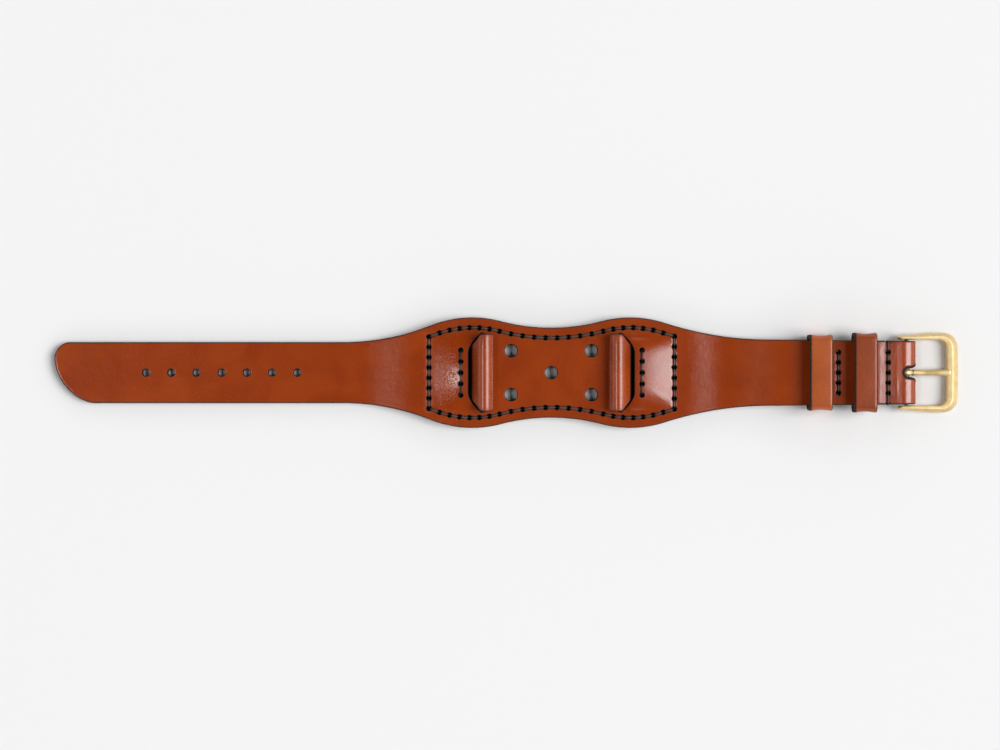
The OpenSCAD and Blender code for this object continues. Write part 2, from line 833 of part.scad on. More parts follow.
// Inner and outer points and half-thickness from one arm's end to the middle of the front bar
function frame_half() =
    let (
        wi = buckle_inner_w / 2,
        ri = corner_r - 1.6,
        xi = buckle_reach - front_bar_w,
        mid = wi + arm_end_w / 2
    )
    concat(
        [for (s = [[0.15, 0.3], [0.6, 0.75]])
            [[-arm_back * (1 - 0.28 * s[0]), mid - s[1] * arm_end_w / 2],
             [-arm_back * (1 - 0.28 * s[0]), mid + s[1] * arm_end_w / 2], s[1] * arm_t / 2]],
        [for (x = span(-arm_back * 0.62, xi - ri, 7))
            [[x, wi], [x, arm_out(x)], arm_t / 2]],
        [for (t = [15:15:90])
            [[xi - ri + ri * sin(t), wi - ri + ri * cos(t)],
             [buckle_reach - corner_r + corner_r * sin(t),
              buckle_outer_w / 2 - corner_r + corner_r * cos(t)],
             arm_t / 2 + (front_bar_t - arm_t) / 2 * t / 90]],
        [for (y = [0.7, 0.35])
            [[xi, y * (wi - ri)], [buckle_reach + 0.12 * (1 - y), y * (wi - ri)],
             front_bar_t / 2]]
    );

module frame_body() {
    half = frame_half();
    xi = buckle_reach - front_bar_w;
    whole = concat(half, [[[xi, 0], [buckle_reach + 0.12, 0], front_bar_t / 2]],
        [for (s = reversed(half)) [[s[0].x, -s[0].y], [s[1].x, -s[1].y], s[2]]]);
    tube_skin([for (s = whole) metal_ring(s[0], s[1], s[2], 14)]);
}

module buckle_frame() {
    color(brass)
        translate([bar_x, 0, bar_z])
            rotate([0, frame_tilt, 0])
                difference() {
                    frame_body();
                    for (s = [0, 1])
                        mirror([0, s, 0])
                            rod_y(0, 0, tip_hole_r, 4, buckle_inner_w / 2 + tip_hole_depth - 2);
                }
}

// Middle line of the tongue: level at its eye, rising to lie on the front bar
function tongue_mid(x) =
    let (rest = front_bar_t / 2 * cos(frame_tilt) + seat + tongue_t / 2
            - (buckle_reach - front_bar_w / 2) * sin(frame_tilt))
    rest * smooth((x - tongue_eye_r) / (tongue_reach - 3 - tongue_eye_r));

module buckle_tongue() {
    start = tongue_eye_r - 0.4;
    xs = concat(span(start, tongue_reach - 0.9, 11),
                [for (t = [30:30:60]) tongue_reach - 0.9 + 0.9 * sin(t)], [tongue_reach]);
    color(brass)
        translate([bar_x, 0, bar_z])
            difference() {
                union() {
                    rod_y(0, 0, tongue_eye_r, tongue_w);
                    tube_skin([for (x = xs)
                        let (
                            e = max(0, (x - tongue_reach + 0.9) / 0.9),
                            f = sqrt(max(0.05, 1 - e * e))
                        )
                        [for (p = metal_ring([0, -tongue_w / 2 * f], [0, tongue_w / 2 * f],
                                             tongue_t / 2 * f, 10))
                            [x, p.y, tongue_mid(x) + p.z]]]);
                }
                rod_y(0, 0, bar_hole_r, tongue_w + 2);
            }
}

// Spring bar

module spring_bar_tube() {
    color(steel)
        difference() {
            rod_y(bar_x, bar_z, bar_d / 2, 2 * tube_half);
            rod_y(bar_x, bar_z, head_r + 0.06, 2 * (tube_half - lip));
            rod_y(bar_x, bar_z, tip_hole_r, 2 * tube_half + 2);
        }
}

// One sprung tip: the head inside the tube and the neck that sits in the buckle's arm
module spring_bar_tip(side) {
    color(steel) {
        rod_y(bar_x, bar_z, head_r, head_len, side * (head_end - head_len / 2));
        rod_y(bar_x, bar_z, bar_tip_d / 2, tip_end - head_end + 0.4,
              side * (tip_end + head_end - 0.4) / 2);
    }
}

module spring_bar_tip_upper() {
    spring_bar_tip(1);
}

module spring_bar_tip_lower() {
    spring_bar_tip(-1);
}

// Middle line of the spring's wire, eight points to a turn
spring_steps = 8;
spring_points = [for (i = [0:spring_turns * spring_steps])
    let (t = i * 360 / spring_steps)
    [bar_x + spring_r * cos(t),
     (spring_half - wire_d / 2) * (2 * i / (spring_turns * spring_steps) - 1),
     bar_z + spring_r * sin(t)]];
spring_gap = min([for (i = [0:len(spring_points) - 1 - spring_steps])
    norm(spring_points[i + spring_steps] - spring_points[i])]) - wire_d;

module spring_bar_spring() {
    echo(str("least gap between turns of the spring: ", spring_gap));
    last = len(spring_points) - 1;
    color(steel)
        tube_skin([for (i = [0:last])
            let (
                p = spring_points[i],
                t = unit(spring_points[min(i + 1, last)] - spring_points[max(i - 1, 0)]),
                out = unit([p.x - bar_x, 0, p.z - bar_z]),
                u = unit(cross(t, out)),
                w = cross(u, t)
            )
            [for (j = [0:5]) p + wire_d / 2 * (cos(60 * j) * w + sin(60 * j) * u)]]);
}

main_strap();
pad_lining();
left_lug_loop();
right_lug_loop();
free_keeper();
fixed_keeper();
pad_stitching();
left_loop_stitching();
right_loop_stitching();
keeper_stitching();
buckle_stitching();
buckle_frame();
buckle_tongue();
spring_bar_tube();
spring_bar_tip_upper();
spring_bar_tip_lower();
spring_bar_spring();
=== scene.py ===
"""Looks of a leather watch strap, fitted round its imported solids.

Lengths inside the shape functions are millimetres in the row frame; meshes are written in metres.
"""

import bpy
import numpy as np
from mathutils.geometry import delaunay_2d_cdt
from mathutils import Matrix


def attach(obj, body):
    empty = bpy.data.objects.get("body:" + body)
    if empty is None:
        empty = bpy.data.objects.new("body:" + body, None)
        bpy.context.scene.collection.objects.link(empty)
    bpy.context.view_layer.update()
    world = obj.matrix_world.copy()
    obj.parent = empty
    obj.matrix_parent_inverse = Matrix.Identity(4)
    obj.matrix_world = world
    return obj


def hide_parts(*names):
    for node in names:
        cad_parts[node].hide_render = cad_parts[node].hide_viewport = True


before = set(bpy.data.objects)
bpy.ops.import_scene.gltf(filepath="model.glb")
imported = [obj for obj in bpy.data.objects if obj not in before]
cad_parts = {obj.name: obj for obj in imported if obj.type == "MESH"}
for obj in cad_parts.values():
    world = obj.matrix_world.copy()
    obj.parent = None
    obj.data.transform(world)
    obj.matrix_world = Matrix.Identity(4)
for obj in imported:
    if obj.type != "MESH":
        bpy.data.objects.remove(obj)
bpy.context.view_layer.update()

MM = 0.001

# Sizes of the strap, the same as in the solids
STRAP_T = 2.6
TAIL_REACH, TAIL_W, TIP_Y, TIP_SHORT, TIP_LONG = 136, 16.7, 4.1, 4, 11.3
ROOT_W, BUCKLE_END_W = 18.1, 17.3
LOBE_W, LOBE_X, LOBE_R, WAIST_W = 30.2, 21.6, 31, 24.6
FLARE_TAIL, FLARE_ROOT = 57, 60
LINING_T, LINING_HALF = 1.2, 36.2
SWELL, SWELL_TOP, SWELL_END, SWELL_HW = 1.7, 24.2, 33.9, 10.4
TAIL_FLAT, PAD_FLAT, SAG_X, SAG_Z, ROOT_FLAT = 52, 36.8, 46.8, 0.48, 66
HOLE_R, HOLE_X, HOLE_PITCH, HOLE_COUNT = 1.0, 69.5, 6.9, 7
VENT_R, VENT_X, VENT_Y = 1.7, 11, 6
STITCH_R, THREAD_R = 0.65, 0.27
STITCH_INSET, SIDE_HOLES, END_HOLES = 2.8, 24, 8
LOOP_ROW_X, LOOP_PITCH, END_PITCH = 24.7, 3.07, 2.78
KEEPER_ROW_X, BUCKLE_ROW_X = 78.3, 91.9
LOOP_X, LOOP_LEN, LOOP_R, BORE_R, LOOP_Z = 18.2, 21.1, 2.2, 1.0, 6.1
SLOT_IN, SLOT_OUT, SLOT_HALF = 18.3, 22.6, 10.7
STRIP_HIGH, STRIP_LOW, STRIP_NECK, STRIP_END = 1.85, 0.45, 23.4, 32.0
NOTCH = 0.35
BAR_X, BAR_Z, BAR_R, FOLD_R = 97.15, 2.6, 0.95, 2.6
ROOT_Z, FLAP_X, FLAP_Z, FLAP_T = 2.6, 77.25, 1.3, 1.2
FOLD_END = BAR_X + FOLD_R
FOLD_LEN = np.pi * FOLD_R
FOLD_CREST = 96.25
BAND_END = BAR_X + FOLD_LEN + BAR_X - FLAP_X
PAD_TOP = LINING_T + STRAP_T
GROOVE = 0.3
UNDER_GROOVE, FLAP_GROOVE = 0.63, 0.6
POCKET_HALF = 8.9


# Small helpers

BLOCK_SIZE = 3_000_000


def smooth(t):
    """Smooth step: 0 below 0 and 1 above 1, flat at both ends."""
    u = np.clip(t, 0, 1)
    return u * u * (3 - 2 * u)


def bezier(a, b, c, d, n):
    """Cubic curve from a to d, drawn towards b and c: the four points weighted by the cubic basis."""
    t = np.linspace(0, 1, n)[:, None]
    a, b, c, d = (np.asarray(p, float) for p in (a, b, c, d))
    return (1 - t) ** 3 * a + 3 * t * (1 - t) ** 2 * b + 3 * t * t * (1 - t) * c + t ** 3 * d


def unit(v):
    """Vectors of length 1 along the last axis."""
    return v / np.maximum(np.linalg.norm(v, axis=-1, keepdims=True), 1e-12)


def arc(cx, cy, r, a0, a1, n):
    """Points of a circle from angle a0 to a1, in degrees."""
    t = np.radians(np.linspace(a0, a1, n))
    return np.stack([cx + r * np.cos(t), cy + r * np.sin(t)], 1)


def ccw(line):
    """The closed line, running anticlockwise: turned round where its shoelace area is negative."""
    x, y = line.T
    area = (x * np.roll(y, -1) - y * np.roll(x, -1)).sum()
    return line if area > 0 else line[::-1]


def resampled(line, step, closed=True):
    """The line with points an even step apart, read off at equal lengths along it."""
    pts = np.vstack([line, line[:1]]) if closed else line
    run = np.concatenate([[0], np.cumsum(np.linalg.norm(np.diff(pts, axis=0), axis=1))])
    n = max(int(round(run[-1] / step)), 4)
    at = np.linspace(0, run[-1], n + 1)[:-1] if closed else np.linspace(0, run[-1], n + 1)
    return np.stack([np.interp(at, run, pts[:, k]) for k in range(pts.shape[1])], 1)


def offset(line, d):
    """The closed anticlockwise line moved outwards by d along the normals of its points."""
    t = unit(np.roll(line, -1, axis=0) - np.roll(line, 1, axis=0))
    return line + d * np.stack([t[:, 1], -t[:, 0]], 1)


def blocks(points, line):
    """The points in blocks, each small enough to be compared with the whole line at once."""
    return np.array_split(points, max(1, len(points) * len(line) // BLOCK_SIZE))


def reach(points, line):
    """Distance from each point to a closed line: the least over its segments, each clamped at its ends."""
    seg = np.roll(line, -1, axis=0) - line
    size = np.maximum((seg * seg).sum(1), 1e-12)
    parts = []
    for block in blocks(points, line):
        rel = block[:, None] - line[None]
        t = np.clip((rel * seg).sum(2) / size, 0, 1)
        parts.append(np.linalg.norm(rel - t[..., None] * seg, axis=2).min(1))
    return np.concatenate(parts)


def inside(points, line):
    """True where a point lies inside a closed line: an odd number of edges crosses its level to the right."""
    a, b = line, np.roll(line, -1, axis=0)
    found = []
    for block in blocks(points, line):
        x, y = block[:, :1], block[:, 1:]
        spans = (a[:, 1] > y) != (b[:, 1] > y)
        rise = np.where(b[:, 1] == a[:, 1], 1e-12, b[:, 1] - a[:, 1])
        at = a[:, 0] + (y - a[:, 1]) / rise * (b[:, 0] - a[:, 0])
        found.append((spans & (x < at)).sum(1) % 2 == 1)
    return np.concatenate(found)


def from_rings(points, centres, r):
    """Distance from each point to the nearest of several circles of radius r, below 0 inside one."""
    return np.linalg.norm(points[:, None] - centres[None], axis=2).min(1) - r


def from_row(points, at, half):
    """Distance from each point to a straight line across the strap, of a given half-length."""
    return np.hypot(points[:, 0] - at, np.maximum(np.abs(points[:, 1]) - half, 0))


def rim(d, r):
    """Depth of a rounded edge of radius r at distance d from it: a quarter circle, none beyond r."""
    return r - np.sqrt(np.maximum(r * r - (r - np.clip(d, 0, r)) ** 2, 0))


def grid_faces(nu, nv, wrap_u=False, wrap_v=False):
    """Quads of a grid of nu by nv points, joined end to start where it wraps."""
    u = np.arange(nu if wrap_u else nu - 1)[:, None]
    v = np.arange(nv if wrap_v else nv - 1)[None]
    u1, v1 = (u + 1) % nu, (v + 1) % nv
    quad = [u * nv + v, u1 * nv + v, u1 * nv + v1, u * nv + v1]
    return np.stack([np.broadcast_to(q, (u.shape[0], v.shape[1])).ravel() for q in quad], 1)


def end_fans(total, k):
    """Triangles that close both ends of a grid in rows of k points, to the two points that follow them all."""
    ring, ahead = np.arange(k), np.roll(np.arange(k), -1)
    return [np.stack([np.full(k, total), ahead, ring], 1),
            np.stack([np.full(k, total + 1), total - k + ring, total - k + ahead], 1)]


def placed(name, data):
    """A new object in the scene."""
    made = bpy.data.objects.new(name, data)
    bpy.context.scene.collection.objects.link(made)
    return made


def mesh_piece(name, skins, finish, body, replaced):
    """One closed object of several skins, riding on its body in place of its solids.

    A skin is its points, its sets of faces and two marks for each point: on leather, how near it is to a cut
    edge or to a place darkened as painted shade, and on which face it lies; on thread, the hollows between its
    strands and its depth in the leather, both darkened as painted shade. Points of two skins that meet are made
    one."""
    starts = np.cumsum([0] + [len(s[0]) for s in skins])
    points = np.vstack([s[0] for s in skins])
    _, first, same = np.unique(np.round(points, 4), axis=0, return_index=True, return_inverse=True)
    same = same.ravel()
    faces = []
    for start, skin in zip(starts, skins):
        for f in skin[1]:
            faces += same[np.asarray(f) + start].tolist()
    mesh = bpy.data.meshes.new(name)
    mesh.from_pydata((points[first] * MM).tolist(), [], faces)
    for key, column in (("edge", 2), ("side", 3)):
        values = np.concatenate([s[column] for s in skins])[first]
        mesh.attributes.new(key, "FLOAT", "POINT").data.foreach_set("value", values.astype(np.float32))
    mesh.validate()
    mesh.polygons.foreach_set("use_smooth", np.ones(len(mesh.polygons), bool))
    mesh.materials.append(finish)
    piece = placed(name, mesh)
    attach(piece, body)
    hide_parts(*replaced)


def triangles(loops, free):
    """Triangles that fill the first loop and leave out the others, through the free points.

    Returns the points, the triangles and each loop's place among the points."""
    points = np.vstack(loops + free)
    starts = np.cumsum([0] + [len(l) for l in loops])
    edges = np.vstack([
        np.stack([s + np.arange(len(l)), s + np.roll(np.arange(len(l)), -1)], 1)
        for s, l in zip(starts, loops)
    ])
    out = delaunay_2d_cdt(points.tolist(), edges.tolist(), [], 0, 1e-6)
    got = np.array([tuple(p) for p in out[0]])
    tri = np.array(out[2])
    middle = got[tri].mean(1)
    keep = inside(middle, loops[0])
    for hole in loops[1:]:
        lo, hi = hole.min(0), hole.max(0)
        near = np.flatnonzero(keep & (middle >= lo).all(1) & (middle <= hi).all(1))
        if len(near):
            keep[near] = ~inside(middle[near], hole)
    tri = tri[keep]
    a, b, c = got[tri[:, 0]], got[tri[:, 1]], got[tri[:, 2]]
    cross = (b - a)[:, 0] * (c - a)[:, 1] - (b - a)[:, 1] * (c - a)[:, 0]
    tri = np.where((cross > 0)[:, None], tri, tri[:, ::-1])
    place = np.full(len(points), -1)
    for new, old in enumerate(out[3]):
        place[old] = new
    used, flat = np.unique(tri, return_inverse=True)
    renumber = np.full(len(got), -1)
    renumber[used] = np.arange(len(used))
    rings = [renumber[place[s:s + len(l)]] for s, l in zip(starts, loops)]
    return got[used], flat.reshape(-1, 3), rings


def plate(loops, free, faces_at, edge_at, wall_rows=3):
    """A sheet with two faces and a wall round each loop.

    faces_at(points) gives both faces' points in space and how deep each is sunk at its rounded edges;
    edge_at(points) gives how near each point is to a cut edge. The walls join the two rims."""
    pts, tri, rings = triangles(loops, free)
    outer, inner, sink_out, sink_in = faces_at(pts)
    through = unit(inner - outer)
    outer, inner = outer + through * sink_out[:, None], inner - through * sink_in[:, None]
    edge, n = edge_at(pts), len(pts)
    verts, faces = [outer, inner], [tri, tri[:, ::-1] + n]
    near, side = [edge, edge], [np.zeros(n), np.ones(n)]
    t = np.linspace(0, 1, wall_rows + 2)[1:-1]
    count = 2 * n
    for k, ring in enumerate(rings):
        m = len(ring)
        rows = outer[ring] + t[:, None, None] * (inner[ring] - outer[ring])
        index = np.vstack([ring, count + np.arange(wall_rows * m).reshape(wall_rows, m), ring + n])
        a, b = index[:-1], index[1:]
        quads = np.stack([b, np.roll(b, -1, 1), np.roll(a, -1, 1), a], 2).reshape(-1, 4)
        faces.append(quads if k == 0 else quads[:, ::-1])
        verts.append(rows.reshape(-1, 3))
        near.append(np.zeros(wall_rows * m))
        side.append(np.repeat(t, m))
        count += wall_rows * m
    return np.vstack(verts), faces, np.concatenate(near), np.concatenate(side)


# Outline and faces of the strap

def arcs(u, run, top, low, r):
    """Half-width at a distance u from a crest: a convex arc of radius r, then a concave arc, over the run."""
    s = (run * run + (top - low) ** 2) / (2 * (top - low))
    crest = top - r + np.sqrt(np.maximum(r * r - u * u, 0))
    hollow = low + (s - r) - np.sqrt(np.maximum((s - r) ** 2 - (run - u) ** 2, 0))
    return np.where(u <= run * r / s, crest, hollow)


def half_w(x):
    """Half-width of the strap along its length: tail, two lobes with a waist between, and the buckle end."""
    x = np.asarray(x, float)
    top = LOBE_W / 2
    return np.select(
        [x <= -FLARE_TAIL, x < -LOBE_X, x < LOBE_X, x < FLARE_ROOT],
        [np.full_like(x, TAIL_W / 2),
         arcs(-LOBE_X - x, FLARE_TAIL - LOBE_X, top, TAIL_W / 2, LOBE_R),
         arcs(LOBE_X - np.abs(x), LOBE_X, top, WAIST_W / 2, LOBE_R),
         arcs(x - LOBE_X, FLARE_ROOT - LOBE_X, top, ROOT_W / 2, LOBE_R)],
        ROOT_W / 2 + (BUCKLE_END_W - ROOT_W) / 2 * (x - FLARE_ROOT) / (FOLD_END - FLARE_ROOT))


def under_z(x):
    """Underside of the strap: on the table at the tail, up on the lining, a sag, then up to the folded end."""
    left = LINING_T * smooth((x + TAIL_FLAT) / (TAIL_FLAT - PAD_FLAT))
    right = np.where(x < SAG_X, LINING_T + (SAG_Z - LINING_T) * smooth((x - PAD_FLAT) / (SAG_X - PAD_FLAT)),
                     SAG_Z + (ROOT_Z - SAG_Z) * smooth((x - SAG_X) / (ROOT_FLAT - SAG_X)))
    return np.where(x < 0, left, right)


def swelling(x, y):
    """Height that a loop strip pushes the leather up: level by the slot, then sloping to the stitch line.

    With u from 0 at the stitch line to 1 at the level part it is u (1 + k (1 - u)), its upper end rounded
    by a soft minimum, hollow on the left and full on the right; across the strap it falls as 1 - |y|^p.
    One slight crease runs over the right side."""
    ax = np.abs(x)
    u = np.maximum((SWELL_END - ax) / (SWELL_END - SWELL_TOP), 0)
    v = 1 - 0.5 * (1 - u + np.sqrt((1 - u) ** 2 + 0.004))
    up = np.maximum(v, 0) * (1 + np.where(x < 0, -0.32, 0.2) * (1 - v))
    power = np.where(x < 0, 2.3, 4.4)
    y = np.where(x < 0, y, y + 0.35)
    round_off = 1 - np.minimum(np.abs(y) / SWELL_HW, 1) ** power
    crease = 0.07 * np.exp(-((y + 6.0 + 0.35 * (x - 29.5)) / 0.9) ** 2 - ((x - 29.5) / 3.2) ** 2)
    return SWELL * smooth((ax - SLOT_IN) / (SLOT_OUT - SLOT_IN)) * up * round_off + crease


def band_x(s):
    """Place along the strap of a length s along the band, which turns back round the bar."""
    turn = np.clip((s - BAR_X) / FOLD_R, 0, np.pi)
    return np.where(s < BAR_X, s, BAR_X + FOLD_R * np.sin(turn) - np.maximum(s - BAR_X - FOLD_LEN, 0))


def back_to(x):
    """Length along the band of a place x on the folded-back end."""
    return BAR_X + FOLD_LEN + BAR_X - x


def pocket(x, y):
    """Hollow under the leather that holds a strip's sewn end: high at the slot, thinning to the strip's end."""
    ax = np.abs(x)
    share = np.clip((ax - STRIP_NECK) / (STRIP_END - STRIP_NECK), 0, 1)
    high = STRIP_HIGH - (STRIP_HIGH - STRIP_LOW) * share
    return high * smooth((POCKET_HALF - np.abs(y)) / 0.5) * smooth((STRIP_END + 0.5 - ax) / 0.5) * (ax > 20)


DROP_X = 92.8
DROP = bezier((DROP_X, FLAP_Z), (DROP_X + 1.3, FLAP_Z), (DROP_X + 1.3, 0), (BAR_X, 0), 24)
KEEPER_DIP = (80.8, 82.0, 88.9, 90.1)


def flap_low(x):
    """Underside of the folded-back end: level, lower under the fixed keeper, down to the table at the bar."""
    a, b, c, d = KEEPER_DIP
    dip = 0.8 * smooth((x - a) / (b - a)) * smooth((d - x) / (d - c))
    return np.interp(x, DROP[:, 0], DROP[:, 1]) - dip


def inset_line(x, d):
    """Points at a distance d inside the strap's upper side, square to it."""
    slope = (half_w(x + 0.1) - half_w(x - 0.1)) / 0.2
    n = np.sqrt(1 + slope * slope)
    return np.stack([x + d * slope / n, half_w(x) - d / n], 1)


corner_x = LINING_HALF - 1.8
side_line = inset_line(np.linspace(-corner_x, corner_x, SIDE_HOLES), STITCH_INSET)
end_share = (1 - 2 * np.arange(1, END_HOLES - 1) / (END_HOLES - 1))[:, None]
FLIP = np.array([1, -1])


def end_line(p):
    """Holes across one end of the ring, between its two corners."""
    return np.hstack([np.full_like(end_share, p[0]), p[1] * end_share])


ring_holes = np.vstack([side_line, end_line(side_line[-1]), (side_line * FLIP)[::-1],
                        end_line(side_line[0])[::-1]])


def row(x, pitch):
    """Five hole centres across the strap."""
    return np.stack([np.full(5, float(x)), (np.arange(5) - 2) * pitch], 1)


loop_rows = [row(-LOOP_ROW_X, LOOP_PITCH), row(LOOP_ROW_X, LOOP_PITCH)]
end_rows = [row(KEEPER_ROW_X, END_PITCH), row(BUCKLE_ROW_X, END_PITCH)]
flap_rows = [row(back_to(KEEPER_ROW_X), END_PITCH), row(back_to(BUCKLE_ROW_X), END_PITCH)]
tongue_holes = np.stack([-HOLE_X - HOLE_PITCH * np.arange(HOLE_COUNT), np.zeros(HOLE_COUNT)], 1)
vents = np.array([[0, 0]] + [[sx * VENT_X, sy * VENT_Y] for sx in (-1, 1) for sy in (-1, 1)], float)


def slot_line(side, d):
    """Outline of one loop's slot, grown by d: a straight inner end and outer corners that slant in."""
    corner = bezier((SLOT_OUT, 5.4), (SLOT_OUT, 7.2), (SLOT_OUT - 1.7, 8.9), (SLOT_OUT - 3.4, SLOT_HALF), 18)
    half = np.vstack([corner, arc(SLOT_IN + 0.35, SLOT_HALF - 0.35, 0.35, 90, 180, 6)])
    line = np.vstack([half, (half * FLIP)[::-1]]) * (side, 1)
    return offset(ccw(resampled(line, 0.4)), d)


def mouth_line(d):
    """Outline of the tongue's slot on the flat band: round ends, widest where the band turns back."""
    a, b = 96.35, BAR_X + FOLD_LEN + 0.9
    s = np.linspace(0, 1, 40)
    ends = np.sqrt(np.maximum(1 - (1 - np.minimum(np.minimum(s, 1 - s) / 0.115, 1)) ** 2, 0))
    at = a + (b - a) * s
    w = ends * (1.12 + 0.66 * np.exp(-((at - BAR_X - FOLD_LEN / 2) / 1.9) ** 2))
    line = np.vstack([np.stack([at, -w], 1), np.stack([at, w], 1)[::-1][1:-1]])
    return offset(ccw(resampled(line, 0.3)), d)


def circles(centres, r, n):
    """One closed ring of n points round each centre."""
    ring = arc(0, 0, r, 0, 360, n + 1)[:-1]
    return [c + ring for c in centres]


# Band outline in its flat length: upper side, flap's cut end, lower side, round tip
def band_half(s):
    """Half-width of the flat band, with the notches that the wrapped thread lies in."""
    w = half_w(band_x(s))
    for at in (BUCKLE_ROW_X, back_to(BUCKLE_ROW_X)):
        w = w - NOTCH * (1 - smooth((np.abs(s - at) - 0.5) / 0.3))
    return w


def band_outline():
    """Closed outline of the flat band: points closer together at the notches and where the band turns."""
    tip = np.array([-TAIL_REACH, TIP_Y])
    up, low = np.array([TIP_SHORT - TAIL_REACH, TAIL_W / 2]), np.array([TIP_LONG - TAIL_REACH, -TAIL_W / 2])
    k, end_r = 0.485, 0.9
    corner = bezier(up, up - [k * TIP_SHORT, 0], tip + [0, k * (up[1] - TIP_Y)], tip, 12)
    sweep = bezier(tip, tip - [0, k * (TIP_Y - low[1])], low - [k * TIP_LONG, 0], low, 24)
    notch, back = BUCKLE_ROW_X, back_to(BUCKLE_ROW_X)
    stretches = [(notch - 1.2, 0.7), (notch + 1.2, 0.16), (96.6, 0.5), (106, 0.3), (back - 1.2, 0.5),
                 (back + 1.2, 0.16), (BAND_END - end_r, 0.7)]

    def lengths(start):
        marks, at = [], start
        for stop, step in stretches:
            marks.append(np.linspace(at, stop, int(np.ceil((stop - at) / step)) + 1)[:-1])
            at = stop
        return np.append(np.concatenate(marks), at)

    s_up, s_low, w = lengths(up[0]), lengths(low[0]), band_half(BAND_END)
    return ccw(np.vstack([
        np.stack([s_low, -band_half(s_low)], 1), arc(BAND_END - end_r, -w + end_r, end_r, -90, 0, 6)[1:],
        arc(BAND_END - end_r, w - end_r, end_r, 0, 90, 6)[:-1],
        np.stack([s_up, band_half(s_up)], 1)[::-1], corner[1:-1], sweep[:-1]]))


STRAP_OUTLINE = band_outline()
ALL_STITCHES = np.vstack([ring_holes] + loop_rows + end_rows + flap_rows)
LINING_STITCHES = np.vstack([ring_holes] + loop_rows)
END_HALF, LOOP_HALF = 2 * END_PITCH, 2 * LOOP_PITCH
END_ROW_HALF, LOOP_ROW_HALF = 6.4, 6.9
OUT_STEPS = np.array([0.05, 0.13, 0.24, 0.37, 0.55, 0.85])
HOLE_STEPS = np.array([0.05, 0.12, 0.22, 0.42])
GROOVE_POINTS = 0.55
GROOVE_STEPS = (-0.8, -0.6, -0.5, -0.46, -0.34, -0.15, 0.15, 0.34, 0.46, 0.5, 0.6, 0.8)
CUT_RIM, FLAP_RIM, FLESH_RIM, STAIN_END = 0.28, 0.55, 0.6, 8
OUT_RIM, OUT_STAIN, LINING_RIM, LINING_STAIN = 0.5, 0.5, 0.4, 0.6
# Painted shade along the stitch grooves: full near the middle line, fading beyond; and how far the buckle row
# runs past the edge
GROOVE_SHADE_REACH, GROOVE_SHADE_FADE, PAST_EDGE = 0.3, 0.24, 12
RUBBED_MARK, RUBBED_REACH, RUBBED_X, RUBBED_HALF = 0.015, 1.3, -32.3, 0.95

# Round openings: centres, radius, points on the rim, its rounding and the width of its stain; round the stitch
# holes that stain is partly burnish and partly painted shade of the deep holes
STRAP_ROUNDS = [(ALL_STITCHES, STITCH_R, 16, 0.2, 0.3), (tongue_holes, HOLE_R, 24, 0.25, 0.3),
                (vents, VENT_R, 32, 0.26, 0.32)]
LINING_ROUNDS = [(LINING_STITCHES, STITCH_R, 12, 0.2, 0.3), (vents, VENT_R, 32, 0.2, 0.3)]
# Cut openings: outline grown by a distance, the width of its full stain and of the fade beyond
STRAP_CUTS = [(lambda d: slot_line(-1, d), 0.1, 0.3), (lambda d: slot_line(1, d), 0.08, 0.3),
              # The tongue's slot gets a wide solid stain: partly its dyed edge, partly painted shade of the
              # deep gap beside the tongue
              (mouth_line, 0.5, 0.45)]
# Net of points over the strap: where each stretch starts and ends, its half-width and its step
STRAP_NETS = [(-137, -57, 9, 1.35), (-57, -34, 16, 1.2), (-34, -17, 16, 0.75), (-17, 17, 16, 1.3),
              (17, 34, 16, 0.75), (34, 60, 16, 1.2), (60, 75, 10, 1.2), (75, 93, 10, 0.75),
              (93, 96, 10, 0.28), (96, 110, 10, 0.5), (110, 126, 10, 0.9)]
LINING_NETS = [(-37, 37, 16, 1.4)]


def groove_depth(d, half=0.34, fade=0.12):
    """Share of a groove's full depth at distance d from its middle line."""
    return 1 - smooth((d - half) / fade)


